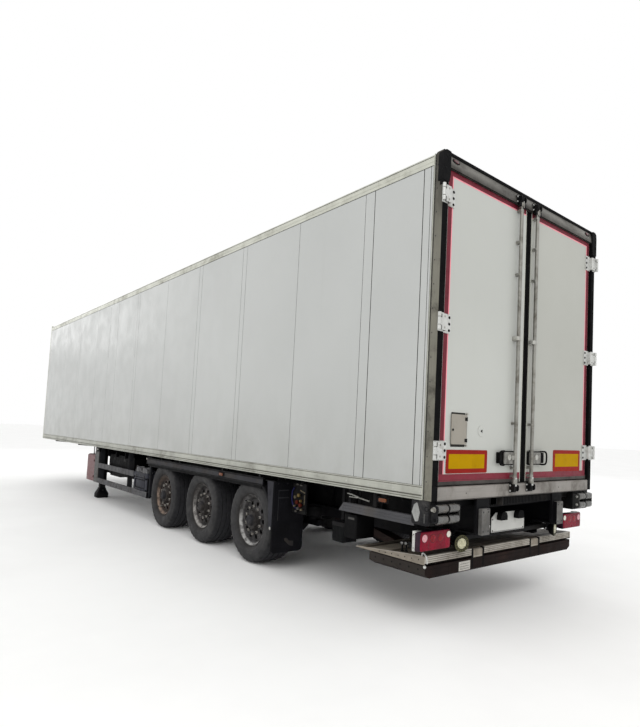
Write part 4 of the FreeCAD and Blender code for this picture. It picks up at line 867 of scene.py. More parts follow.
# lock bars with guides, cams and folded handles
for name, s, y in BARS:
    k = Kit("lock_bar_%s_gear" % name, "door_" + name, "stainless")
    k.dx = 0.024
    X = st(-0.044)
    k.use(M["bar"]).lathe([(0, 0), (0, 0.016), (0.002, 0.0175), (2.690, 0.0175), (2.692, 0.016), (2.692, 0)], (X, y, 1.130), (0, 0, 1), 24)
    # guides: foot plate, saddle and two bolts
    for z, big in ((1.215, 0), (1.290, 0), (1.700, 0), (2.483, 1), (3.100, 0), (3.410, 0), (3.715, 0)):
        h = 0.040 if big else 0.024
        w = 0.040 if big else 0.022
        k.use(M["galv"] if big else M["bar"])
        k.box(st(-0.012), st(-0.0012), y - w, y + w, z, z + h, 0.002)
        k.prism(rounded([(st(-0.0605), y - w + 0.001), (st(-0.008), y - w), (st(-0.008), y + w), (st(-0.0605), y + w - 0.001)], [0.018, 0.002, 0.002, 0.018], 5), "Z", z + 0.002, z + h - 0.002, 0.0015)
        k.use(M["black"])
        for d in (-0.034, 0.034) if big else ():
            k.bolt((st(-0.012), y + d, z + h / 2), (-1, 0, 0), 0.005, 0.004)
    # cam ends: collar, hook and its nose between the keeper's cheeks
    for z0, z1, zc in ((1.098, 1.146, 1.176), (3.810, 3.858, 3.780)):
        k.use(M["bar"]).lathe([(0, 0.0178), (0, 0.0235), (0.003, 0.0255), (0.037, 0.0255), (0.040, 0.0235), (0.040, 0.0178)], (X, y, zc - 0.02), (0, 0, 1), 24, closed=True)
        k.use(M["black"])
        hook = rounded([(st(-0.062), y - 0.018), (st(-0.030), y - 0.018), (st(-0.0285), y + 0.002), (st(-0.034), y + 0.018), (st(-0.062), y + 0.018)], [0.014, 0.006, 0.006, 0.006, 0.014], 3)
        k.prism(hook, "Z", z0, z1, 0.002)
        if z0 > 2:
            k.prism(rounded(rect(st(-0.058), st(-0.029), y - 0.052, y + 0.046), 0.008, 3), "Z", 3.762, 3.800, 0.003, 2)
        za, zb = sorted((z0 + (0.048 if z0 < 2 else 0), zc))
        k.lathe([(0, 0), (0, 0.021), (abs(zb - za), 0.021), (abs(zb - za), 0)], (X, y, min(za, zb)), (0, 0, 1), 20)
        k.use(M["hinge"] if z0 < 2 else M["black"])
        k.box(st(-0.064), st(-0.058), y - 0.013, y + 0.013, zc - 0.040, zc + 0.040, 0.003)
        k.use(M["galv"])
        k.bolt((st(-0.0635), y, zc + 0.026), (-1, 0, 0), 0.006, 0.0025, False)
        k.bolt((st(-0.0635), y, zc - 0.026), (-1, 0, 0), 0.006, 0.0025, False)
    # handle: cast grip plate beside the bar and a black loop outboard of it
    k.side = 1
    q = s

    def Y(d):
        return y + q * d
    k.use(M["black"])
    lo, hi = sorted((Y(-0.022), Y(0.178)))
    k.prism(rounded(rect(lo, hi, 1.330, 1.458), 0.012, 4), "X", st(-0.030), st(-0.0012), 0.003, 2)
    lo, hi = sorted((Y(-0.020), Y(0.165)))
    k.use(M["cast"]).prism(rounded(rect(lo, hi, 1.340, 1.448), 0.010, 4), "X", st(-0.040), st(-0.030), 0.003, 2)
    k.use(M["galv"]).lathe([(0, 0), (0, 0.026), (0.004, 0.026), (0.008, 0.022), (0.008, 0.012), (0.005, 0.010), (0.005, 0)], (st(-0.040), Y(0.088), 1.400), (-1, 0, 0), 28)
    lo, hi = sorted((Y(0.012), Y(0.060)))
    k.use(M["bar"]).box(st(-0.052), st(-0.036), lo, hi, 1.376, 1.418, 0.004, 2)
    k.use(M["seal"])
    k.pipe([(st(-0.018), Y(0.165), 1.452), (st(-0.048), Y(0.172), 1.458), (st(-0.052), Y(0.232), 1.456), (st(-0.052), Y(0.252), 1.430), (st(-0.052), Y(0.252), 1.360),
            (st(-0.052), Y(0.232), 1.334), (st(-0.048), Y(0.172), 1.332), (st(-0.018), Y(0.165), 1.338)], 0.0085, 10, 0.02)
    lo, hi = sorted((Y(0.185), Y(0.236)))
    k.prism(rounded(rect(lo, hi, 1.345, 1.445), 0.010, 3), "X", st(-0.030), st(-0.0012), 0.003, 2)
    if q < 0:
        k.box(st(-0.046), st(-0.0012), y - 0.035, y - 0.018, 1.322, 1.470, 0.004)
    k.done("lock_bar_" + name)

# =====================================================================
# underframe
# =====================================================================
for node, key in (("chassis_beam_left", "chassis"), ("chassis_beam_right", "chassis"), ("cross_members", "chassis"), ("skid_plate", "dusty"),
                  ("axle_beams", "chassis"), ("trailing_arms", "chassis"), ("lift_slide_rails", "chassis")):
    dress(node, key)

k = Kit("beam_fittings", slot="chassis_paint")
AXLES = (("rear", 2.89), ("middle", 4.20), ("front", 5.51))
for side, s in SIDES:
    k.side = s
    k.use(M["chassis"])
    for i in range(22):      # web stiffeners and bolted outrigger plates
        x = 0.40 + 0.42 * i
        if 2.2 < x < 6.2:
            continue
        k.prism([(0.617, 0.716), (0.690, 0.716), (0.640, 0.88), (0.690, 1.044), (0.617, 1.044)], "X", st(x), st(x + 0.008), 0.0012)
    for x in (0.400, 1.480, 2.200, 3.540, 4.850, 6.160, 7.165, 8.000, 8.860):
        for dz in (0.985, 1.025):
            for dy in (0.73, 0.78):
                k.use(M["dusty"]).bolt((st(x), dy, dz), (-1, 0, 0), 0.008, 0.008)
    # buffer blocks on the beam ends, scuffed, with their bolts
    k.use(M["buffer"]).prism(rounded(rect(0.5560, 0.6700, 0.7340, 0.9580), 0.006, 3), "X", st(-0.0264), st(0.0095), 0.002, 2)
    for y in (0.578, 0.648):
        for z in (0.765, 0.93):
            k.use(M["dusty"]).bolt((st(-0.0260), y, z), (-1, 0, 0), 0.0085, 0.0012, False)
    k.use(M["guard"]).box(st(-0.0267), st(-0.0258), 0.566, 0.600, 0.9480, 0.9545, 0.0003)
    # rims of round holes along the web
    k.use(M["dusty"])
    for x in (6.9, 7.8, 8.3, 8.75):
        k.lathe([(0, 0.034), (0, 0.052), (0.004, 0.050), (0.004, 0.036)], (st(x), 0.6162, 0.88), (0, 1, 0), 28, closed=True)
    # hangers' braces and shock absorbers, one set an axle
    for name, x in AXLES:
        k.use(M["plastic_black"]).rod((st(x + 0.30), 0.500, 0.77), (st(x - 0.02), 0.500, 0.44), 0.028, 20)
        k.use(M["dusty"]).rod((st(x + 0.14), 0.500, 0.605), (st(x - 0.04), 0.500, 0.42), 0.036, 20)
        k.use(M["chassis"])
        k.box(st(x + 0.26), st(x + 0.34), 0.474, 0.528, 0.74, 0.80, 0.004)
        # brake chamber with its rod and the slack arm on the axle
        k.use(M["chassis"]).lathe([(0, 0), (0, 0.060), (0.012, 0.078), (0.070, 0.080), (0.074, 0.087), (0.086, 0.087), (0.090, 0.080), (0.150, 0.076), (0.166, 0.050), (0.168, 0)], (st(x - 0.36), 0.36, 0.62), (1, 0, -0.28), 28)
        k.use(M["galv"]).rod((st(x - 0.20), 0.36, 0.578), (st(x - 0.06), 0.36, 0.560), 0.009, 12)
        k.use(M["chassis"]).prism(rounded([(st(x - 0.085), 0.535), (st(x - 0.035), 0.535), (st(x - 0.03), 0.60), (st(x - 0.08), 0.60)], 0.012, 3), "Y", 0.348, 0.372, 0.003)
        # spring seat plates and U bolts over the trailing arm
        for dx in (-0.062, 0.062):
            for dy in (0.535, 0.687):
                k.use(M["dusty"]).rod((st(x + dx), dy, 0.330), (st(x + dx), dy, 0.560), 0.010, 12)
                k.lathe([(0, 0), (0, 0.016), (0.014, 0.016), (0.014, 0)], (st(x + dx), dy, 0.326), (0, 0, 1), 6)
        k.use(M["chassis"]).box(st(x - 0.085), st(x + 0.085), 0.524, 0.698, 0.336, 0.347, 0.003)
k.side = 1
# the cross tube behind the sill
k.use(M["black"]).box(st(0.101), st(0.16), -1.20, 1.20, 0.972, 1.030, 0.005)
# ribbed step bar under the sill, its end caps, and the small junction block beside it
k.box(st(0.030), st(0.100), -0.625, 0.305, 0.968, 1.044, 0.004)
k.use(M["black"])
for i in range(38):
    y = -0.618 + 0.0243 * i
    k.box(st(0.024), st(0.033), y, y + 0.012, 0.974, 1.038, 0.002)
k.use(M["dusty"])
for y in (-0.6275, 0.3015):
    k.box(st(0.022), st(0.100), y, y + 0.006, 0.966, 1.046, 0.001)
k.use(M["guard"]).prism(rounded(rect(st(0.016), st(0.085), 0.404, 0.505), 0.008, 3), "Z", 0.982, 1.040, 0.003)
k.use(M["black"])
for y in (0.425, 0.455, 0.485):
    k.lathe([(0, 0), (0, 0.009), (0.014, 0.008), (0.014, 0)], (st(0.045), y, 0.9825), (0, 0, -1), 12)
# valve lever and its link under the left rail
k.use(M["galv"]).pipe([(st(1.236), 1.130, 0.977), (st(1.160), 1.130, 0.971), (st(1.033), 1.130, 0.948), (st(0.911), 1.130, 0.935)], 0.0065, 8, 0.02)
k.pipe([(st(1.204), 1.130, 0.947), (st(1.077), 1.130, 0.948)], 0.0045, 8, 0.01)
# folded lip under the sill
k.use(M["footseal"]).box(st(0.0015), st(0.010), -1.2205, 1.2205, 1.0445, 1.0605, 0.001)
k.done()

# bellows of the air suspension
k = Kit("suspension_bellows", slot="rubber_black")
for side, s in SIDES:
    k.side = s
    for name, x in AXLES:
        c = (st(x - 0.42), 0.611, 0.525)
        k.use(M["chassis"]).lathe([(0, 0), (0, 0.088), (0.034, 0.092), (0.043, 0.084), (0.043, 0)], c, (0, 0, 1), 36)
        k.use(M["rubber"]).lathe([(0.036, 0.0), (0.036, 0.10), (0.044, 0.126), (0.058, 0.138), (0.074, 0.142), (0.098, 0.1435), (0.136, 0.1445), (0.150, 0.141), (0.159, 0.130), (0.163, 0.112), (0.163, 0)], c, (0, 0, 1), 44)
        k.use(M["chassis"]).lathe([(0.160, 0), (0.160, 0.118), (0.165, 0.124), (0.175, 0.124), (0.175, 0)], c, (0, 0, 1), 44)
        k.use(M["dusty"]).bolt((st(x - 0.42), 0.611 + 0.128, 0.685), (0, 0, -1), 0.009, 0.010)
k.side = 1
k.done("air_springs")

# stowage box between the beam and the side guard: moulded case, framed lid, two straps, lower well
k = Kit("stowage_case", slot="chassis_paint")
k.use(M["stow"]).prism(rounded(rect(st(7.184), st(8.556), 0.564, 0.9385), 0.035, 5), "Y", 0.744, 1.108, 0.010, 2)
k.prism(rounded(rect(st(7.904), st(8.476), 0.5325, 0.600), 0.014, 3), "Y", 0.760, 1.100, 0.006, 2)
k.prism(rounded(rect(st(7.250), st(8.490), 0.615, 0.895), 0.028, 4), "Y", 1.106, 1.1165, 0.004, 2)
k.use(M["chassis"])
for x in (7.320, 8.380):
    k.prism(rounded(rect(st(x - 0.020), st(x + 0.020), 0.566, 0.9370), 0.004, 2), "Y", 1.1150, 1.1195, 0.001)
    k.bolt((st(x), 1.1190, 0.640), (0, 1, 0), 0.009, 0.0009, False)
k.use(M["black"])
for x in (7.60, 8.16):
    k.prism(rounded(rect(st(x), st(x + 0.10), 0.845, 0.880), 0.006, 3), "Y", 1.1150, 1.1197, 0.0012)
k.done("stowage_box")

# air reservoirs with domed ends, bands and drain taps
k = Kit("air_reservoirs", slot="chassis_paint")
for y in (0.300, -0.300):
    k.use(M["chassis"]).lathe([(0, 0), (0.004, 0.035), (0.018, 0.078), (0.045, 0.112), (0.080, 0.1285), (0.770, 0.1285), (0.805, 0.112), (0.832, 0.078), (0.846, 0.035), (0.850, 0)], (st(6.5), y, 0.83), (1, 0, 0), 40)
    k.use(M["dusty"])
    for x in (6.66, 7.15):
        k.lathe([(0, 0.1285), (0, 0.1300), (0.04, 0.1300), (0.04, 0.1285)], (st(x), y, 0.83), (1, 0, 0), 40, closed=True)
        k.box(st(x), st(x + 0.04), y - 0.005, y + 0.005, 0.955, 1.0595, 0.0015)
        k.bolt((st(x + 0.02), y + 0.005, 1.00), (0, 1, 0), 0.008, 0.01)
    k.use(M["galv"]).lathe([(0, 0.007), (0, 0.012), (0.006, 0.012), (0.006, 0.006), (0.020, 0.006), (0.020, 0)], (st(6.9), y, 0.7045), (0, 0, -1), 12)
k.done("air_tanks")

# landing gear: outer tubes, inner legs, skirted feet, gearbox, shaft, brace and crank
k = Kit("landing_gear", slot="chassis_paint")
lx = 9.35
for side, s in SIDES:
    k.side = s
    k.use(M["chassis"])
    k.prism(rounded(rect(st(lx - 0.065), st(lx + 0.065), 0.910, 1.040), 0.016, 4), "Z", 0.300, 1.0595, 0.003)
    k.use(M["black"]).prism(rounded(rect(st(lx - 0.054), st(lx + 0.054), 0.921, 1.029), 0.014, 4), "Z", 0.085, 0.32, 0.002)
    k.use(M["chassis"])
    k.prism(rounded(rect(st(lx - 0.071), st(lx + 0.071), 0.904, 1.046), 0.02, 4), "Z", 0.300, 0.330, 0.003)
    k.prism(rounded(rect(st(lx - 0.090), st(lx + 0.090), 0.885, 1.065), 0.02, 4), "Z", 0.845, 1.055, 0.004)
    # foot: stepped skirt spreading from the leg to the pad
    bm = bmesh.new()
    rings = []
    for z, h, r in ((0.200, 0.060, 0.016), (0.186, 0.067, 0.02), (0.165, 0.072, 0.026), (0.120, 0.095, 0.036), (0.092, 0.110, 0.045), (0.074, 0.114, 0.05), (0.012, 0.115, 0.05), (0.0, 0.104, 0.045)):
        rings.append([bm.verts.new((p[0], p[1], z)) for p in rounded(rect(st(lx) - h, st(lx) + h, 0.975 - h, 0.975 + h), r, 5)])
    n = len(rings[0])
    for p, q in zip(rings, rings[1:]):
        for i in range(n):
            bm.faces.new((p[i], q[i], q[(i + 1) % n], p[(i + 1) % n]))
    bm.faces.new(rings[0])
    bm.faces.new(rings[-1])
    bmesh.ops.recalc_face_normals(bm, faces=bm.faces[:])
    k.use(M["chassis"]).add(bm)
    k.use(M["dusty"]).rod((st(lx - 0.088), 0.975, 0.150), (st(lx + 0.088), 0.975, 0.150), 0.013, 14)
    for dx in (-0.062, 0.052):
        k.use(M["chassis"]).prism([(0.617, 0.74), (0.70, 0.74), (0.9105, 0.86), (0.9105, 1.055), (0.617, 1.046)], "X", st(lx + dx), st(lx + dx + 0.010), 0.0015)
    for dx in (-0.088, 0.088):
        for z in (0.89, 0.95, 1.01):
            k.use(M["dusty"]).bolt((st(lx + dx * 0.85), 1.065, z), (0, 1, 0), 0.009, 0.010)
k.side = 1
k.use(M["chassis"]).rod((st(lx), -0.910, 0.64), (st(lx), 0.910, 0.64), 0.017, 18)
k.prism(rounded(rect(st(lx + 0.022), st(lx + 0.052), 0.50, 0.56), 0.006, 2), "Y", -0.910, 0.910, 0.001)
for a, c in ((-0.62, 0.90), (0.62, -0.90)):
    k.rod((st(lx + 0.037), a, 0.70), (st(lx + 0.037), c, 0.545), 0.012, 10)
# gearbox and crank, on the right leg
k.side = -1
k.prism(rounded(rect(st(lx - 0.060), st(lx + 0.060), 0.56, 0.73), 0.03, 4), "Y", 1.038, 1.118, 0.006, 2)
k.use(M["dusty"]).rod((st(lx), 1.10, 0.64), (st(lx), 1.165, 0.64), 0.014, 14)
k.pipe([(st(lx), 1.158, 0.64), (st(lx + 0.02), 1.158, 0.80), (st(lx + 0.02), 1.158, 0.86)], 0.009, 10, 0.03)
k.use(M["seal"]).rod((st(lx + 0.02), 1.158, 0.81), (st(lx + 0.02), 1.158, 0.94), 0.015, 14)
k.side = 1
k.done("landing_legs")

# =====================================================================
# side guards: grooved rails, end plates, posts
# =====================================================================
k = Kit("side_guard_set", slot="guard_steel")


def guard_rail(k, x0, x1, y0, y1, z, h, mat="guard"):
    """An extruded rail: flat outer face with two shallow grooves, plugged ends."""
    g = 0.0022
    sec = [(y0, z), (y1 - 0.004, z), (y1, z + 0.004), (y1, z + h * 0.30), (y1 - g, z + h * 0.32), (y1 - g, z + h * 0.37), (y1, z + h * 0.39),
           (y1, z + h * 0.61), (y1 - g, z + h * 0.63), (y1 - g, z + h * 0.68), (y1, z + h * 0.70), (y1, z + h - 0.004), (y1 - 0.004, z + h), (y0, z + h)]
    k.use(M[mat]).prism(sec, "X", st(x0 + 0.004), st(x1 - 0.004))
    k.use(M["plastic_black"])
    k.box(st(x0), st(x0 + 0.006), y0 + 0.001, y1 - 0.0005, z + 0.001, z + h - 0.001, 0.002)
    k.box(st(x1 - 0.006), st(x1), y0 + 0.001, y1 - 0.0005, z + 0.001, z + h - 0.001, 0.002)


for side, s in SIDES:
    k.side = s
    first = 6.766 if s > 0 else 6.130
    guard_rail(k, first, 8.736, 1.222, 1.250, 0.652, 0.092)
    guard_rail(k, 6.130, 8.736, 1.222, 1.250, 0.363, 0.092)
    guard_rail(k, 0.216, 1.150, 1.214, 1.250, 0.826, 0.082, "outrail")
    k.use(M["outrail"]).prism([(st(1.140), 0.826), (st(1.215), 0.826), (st(1.215), 0.832), (st(1.150), 0.905)], "Y", 1.216, 1.246, 0.001)
    # end plate with folded edges and a row of round holes' rims
    k.use(M["endplate"]).prism(rounded([(st(8.737), 0.362), (st(8.985), 0.362), (st(8.985), 0.955), (st(8.737), 0.955)], 0.010, 3), "Y", 1.2385, 1.250, 0.002)
    k.use(M["guard"]).box(st(8.972), st(8.985), 1.152, 1.242, 0.364, 0.953, 0.002)
    k.box(st(8.7375), st(8.748), 1.2225, 1.242, 0.364, 0.953, 0.001)
    k.use(M["chassis"]).box(st(8.902), st(8.968), 1.152, 1.237, 0.362, 1.0595, 0.003)
    k.prism(rounded(rect(st(8.740), st(8.980), 0.955, 1.0495), 0.004, 2), "Y", 1.2365, 1.2435, 0.001)
    k.use(M["galv"])
    k.bolt((st(8.875), 1.2436, 1.002), (0, 1, 0), 0.012, 0.009)
    for z in (0.403, 0.700):
        for x in (8.765, 8.955):
            k.use(M["dusty"]).dome((st(x), 1.2498, z), (0, 1, 0), 0.008, 0.0002, 10)
    # hanger posts behind the rails
    for x, w in ((8.690, 0.040), (7.100, 0.045) if s > 0 else (7.600, 0.045)):
        k.use(M["post_dark"]).prism([(st(x), 1.150), (st(x + w), 1.150), (st(x + w), 1.222), (st(x + w - 0.005), 1.222), (st(x + w - 0.005), 1.156), (st(x + 0.005), 1.156), (st(x + 0.005), 1.222), (st(x), 1.222)], "Z", 0.363, 1.0595, 0.0008)
        for z in (0.409, 0.698):
            k.bolt((st(x - 0.0005), 1.19, z), (-1, 0, 0), 0.008, 0.006, False)
    # rear post with the small bracket at its head
    if s > 0:
        k.use(M["post_dark"]).prism(rounded(rect(st(6.095), st(6.135), 1.190, 1.222), 0.004, 2), "Z", 0.363, 1.0595, 0.001)
    else:
        k.use(M["post_dark"]).prism(rounded(rect(st(6.085), st(6.130), 1.150, 1.250), 0.004, 2), "Z", 0.363, 1.0495, 0.001)
    k.use(M["chassis"]).prism(rounded(rect(st(0.70), st(0.745), 1.18, 1.236), 0.005, 2), "Z", 0.902, 1.0495, 0.001)
    # cross stays behind the guard
    k.use(M["chassis"])
    for xx in (7.55, 8.05, 8.52):
        k.box(st(xx), st(xx + 0.012), 1.06, 1.150, 0.90, 1.0495, 0.001)
k.side = 1
k.done("side_guards")

# tool box: moulded body, lid, framed door with a recessed field, latches, and two chocks in their holders on top
k = Kit("tool_locker", slot="plastic_grey")
x0, x1, y0, y1, z0, z1 = st(6.140), st(6.760), 0.800, 1.248, 0.365, 0.745
k.use(M["plastic"]).prism(rounded([(x0 + 0.004, z0 + 0.002), (x1 - 0.004, z0 + 0.002), (x1 - 0.004, z1 - 0.06), (x0 + 0.004, z1 - 0.06)], 0.022, 4), "Y", y0 + 0.004, 1.214, 0.006, 2)
k.prism(rounded([(x0, z1 - 0.075), (x1, z1 - 0.075), (x1, z1), (x0, z1)], [0.006, 0.006, 0.022, 0.022], 4), "Y", y0, y1, 0.006, 2)
k.use(M["plastic_black"]).prism(rounded([(x0 + 0.006, 0.463), (x1 - 0.006, 0.463), (x1 - 0.006, z1 - 0.078), (x0 + 0.006, z1 - 0.078)], 0.012, 3), "Y", 1.205, y1 - 0.022, 0.002)
k.use(M["plastic"])
for a, c, e, g in ((0.004, 0.616, 0.098, 0.124), (0.004, 0.616, 0.272, 0.300), (0.004, 0.100, 0.098, 0.300), (0.560, 0.616, 0.098, 0.300)):
    k.box(x0 + a, x0 + c, y1 - 0.030, y1 - 0.002, z0 + e, z0 + g, 0.005, 2)
k.prism(rounded(rect(x0 + 0.135, x0 + 0.525, z0 + 0.138, z0 + 0.258), 0.014, 4), "Y", y1 - 0.024, y1 - 0.008, 0.004, 2)
k.use(M["plastic_black"])
for i in range(6):      # ribs on the rear end
    k.box(x0 - 0.002, x0 + 0.006, y0 + 0.04 + 0.062 * i, y0 + 0.052 + 0.062 * i, z0 + 0.04, z1 - 0.085, 0.002)
k.box(x0 - 0.003, x0 + 0.010, y1 - 0.042, y1 - 0.004, z0 + 0.100, z1 - 0.080, 0.003)
k.use(M["black"])
for x in (0.12, 0.47):
    k.box(x0 + x, x0 + x + 0.045, y1 - 0.008, y1 + 0.0015, z0 + 0.285, z0 + 0.345, 0.003, 2)
k.lathe([(0, 0), (0, 0.014), (0.003, 0.012), (0.003, 0)], (x0 + 0.31, y1 - 0.0025, z0 + 0.335), (0, 1, 0), 18)
k.use(M["chassis"])
for x in (6.200, 6.640):
    k.box(st(x), st(x + 0.04), 1.000, 1.008, z1 - 0.01, 1.0595, 0.001)
# chocks lying in their holders
for cx, yy in ((x0 + 0.03, 1.150), (x0 + 0.33, 1.140)):
    k.use(M["chock"])
    for y in (yy, yy + 0.058):
        k.prism(rounded([(cx, 0.747), (cx + 0.26, 0.747), (cx + 0.26, 0.770), (cx + 0.19, 0.826), (cx + 0.12, 0.836), (cx + 0.02, 0.775)], 0.012, 3), "Y", y, y + 0.036, 0.004, 2)
    for i in range(4):
        k.box(cx + 0.045 + 0.045 * i, cx + 0.063 + 0.045 * i, yy - 0.003, yy + 0.097, 0.765, 0.786 + 0.010 * min(i, 2), 0.003)
    k.use(M["endplate"]).box(cx + 0.05, cx + 0.20, yy - 0.006, yy + 0.100, 0.7448, 0.7520, 0.002)
    k.pipe([(cx + 0.07, yy + 0.102, 0.750), (cx + 0.10, yy + 0.104, 0.846), (cx + 0.18, yy + 0.104, 0.846), (cx + 0.21, yy + 0.102, 0.750)], 0.005, 8, 0.03)
k.done("tool_box")

# extinguisher box: faded moulding with bands and two dark latches
k = Kit("extinguisher_case", slot="box_red")
x0, x1, y0, y1, z0, z1 = st(9.020), st(9.520), 1.090, 1.236, 0.355, 0.885
k.use(M["pink"]).prism(rounded(rect(y0, y1, z0, z1), [0.02, 0.040, 0.040, 0.02], 5), "X", x0 + 0.006, x1 - 0.004, 0.008, 2)
k.prism(rounded(rect(y0 + 0.02, y1 - 0.012, z0 + 0.016, z1 - 0.016), 0.030, 4), "X", x0 + 0.001, x0 + 0.012, 0.004, 2)
for z in (z0 + 0.012, z0 + 0.060, z1 - 0.100, z1 - 0.045):
    k.box(x0 + 0.012, x1 - 0.010, y1 - 0.010, y1 + 0.003, z, z + 0.026, 0.006, 2)
k.box(x0 - 0.002, x0 + 0.004, y0 + 0.025, y1 - 0.020, z1 - 0.130, z1 - 0.122, 0.001)
k.use(M["red_dark"])
for z in (z0 + 0.070, z1 - 0.150):
    k.box(x0 - 0.004, x0 + 0.030, y1 - 0.046, y1 + 0.003, z, z + 0.062, 0.008, 2)
    k.box(x0 + 0.02, x0 + 0.075, y1 - 0.01, y1 + 0.007, z + 0.016, z + 0.046, 0.005, 2)
k.use(M["chassis"])
for x in (9.110, 9.380):
    k.box(st(x), st(x + 0.04), 1.150, 1.158, z1 - 0.01, 1.0595, 0.001)
k.done("extinguisher_box")

# battery box: ribbed moulding with a strapped lid, and the switch box behind it
k = Kit("battery_case", slot="plastic_black")
x0, x1, y0, y1, z0, z1 = st(1.175), st(1.365), 1.035, 1.205, 0.515, 0.700
k.use(M["battery"]).prism(rounded(rect(x0 + 0.004, x1, y0, y1 - 0.003), [0.012, 0.02, 0.02, 0.012], 4), "Z", z0, z1 - 0.030, 0.008, 2)
for i in range(8):
    k.box(x0 + 0.014 + 0.0215 * i, x0 + 0.026 + 0.0215 * i, y1 - 0.005, y1, z0 + 0.018, z1 - 0.040, 0.002)
k.use(M["plastic_black"]).prism(rounded(rect(x0, x1 + 0.004, y0 - 0.004, y1), 0.018, 4), "Z", z1 - 0.038, z1, 0.008, 2)
k.box(x0 + 0.0005, x0 + 0.006, y0 + 0.004, y1 - 0.010, z0 + 0.008, z1 - 0.036, 0.003)
for i in range(5):
    k.box(x0 - 0.002, x0 + 0.003, y0 + 0.016 + 0.030 * i, y0 + 0.026 + 0.030 * i, z0 + 0.020, z1 - 0.050, 0.002)
k.use(M["chassis"])
for x in (1.205, 1.300):
    k.box(st(x), st(x + 0.04), 1.100, 1.108, z1 - 0.01, 1.0595, 0.001)
    k.box(st(x), st(x + 0.04), y0 - 0.002, y1 - 0.002, z1 - 0.002, z1 + 0.002, 0.0008)
k.use(M["stow"]).prism(rounded(rect(st(0.992), st(1.174), 0.577, 0.798), 0.018, 3), "Y", 0.982, 1.2015, 0.005, 2)
k.prism(rounded(rect(st(1.006), st(1.160), 0.590, 0.785), 0.014, 3), "Y", 1.200, 1.2030, 0.001)
k.box(st(1.060), st(1.100), 1.100, 1.108, 0.790, 1.0595, 0.001)
k.use(M["endplate"]).box(st(1.030), st(1.120), 1.2025, 1.2040, 0.752, 0.772, 0.0004)
k.done("battery_box")

# mudguard rails with their drip edge, brackets and skirts
k = Kit("mudguard_rail_set", slot="chassis_paint")
for side, s in SIDES:
    k.side = s
    k.use(M["chassis"]).prism([(1.262, 0.915), (1.284, 0.915), (1.284, 0.927), (1.280, 0.931), (1.280, 0.992), (1.284, 0.996), (1.284, 1.010), (1.262, 1.010)], "X", st(2.56), st(6.12))
    k.use(M["dusty"]).box(st(2.562), st(6.118), 1.2795, 1.2812, 0.936, 0.988, 0.0005)
    k.use(M["chassis"])
    for x in (2.62, 3.53, 4.84, 6.02):
        k.box(st(x), st(x + 0.04), 1.2602, 1.2782, 1.000, 1.0495, 0.001)
        k.use(M["dusty"]).bolt((st(x + 0.02), 1.2782, 1.03), (0, 1, 0), 0.007, 0.005)
        k.use(M["chassis"])
    k.use(M["rubber"]).box(st(2.60), st(6.08), 1.2650, 1.2705, 0.880, 0.920, 0.001)
k.side = 1
k.done("mudguard_rails")

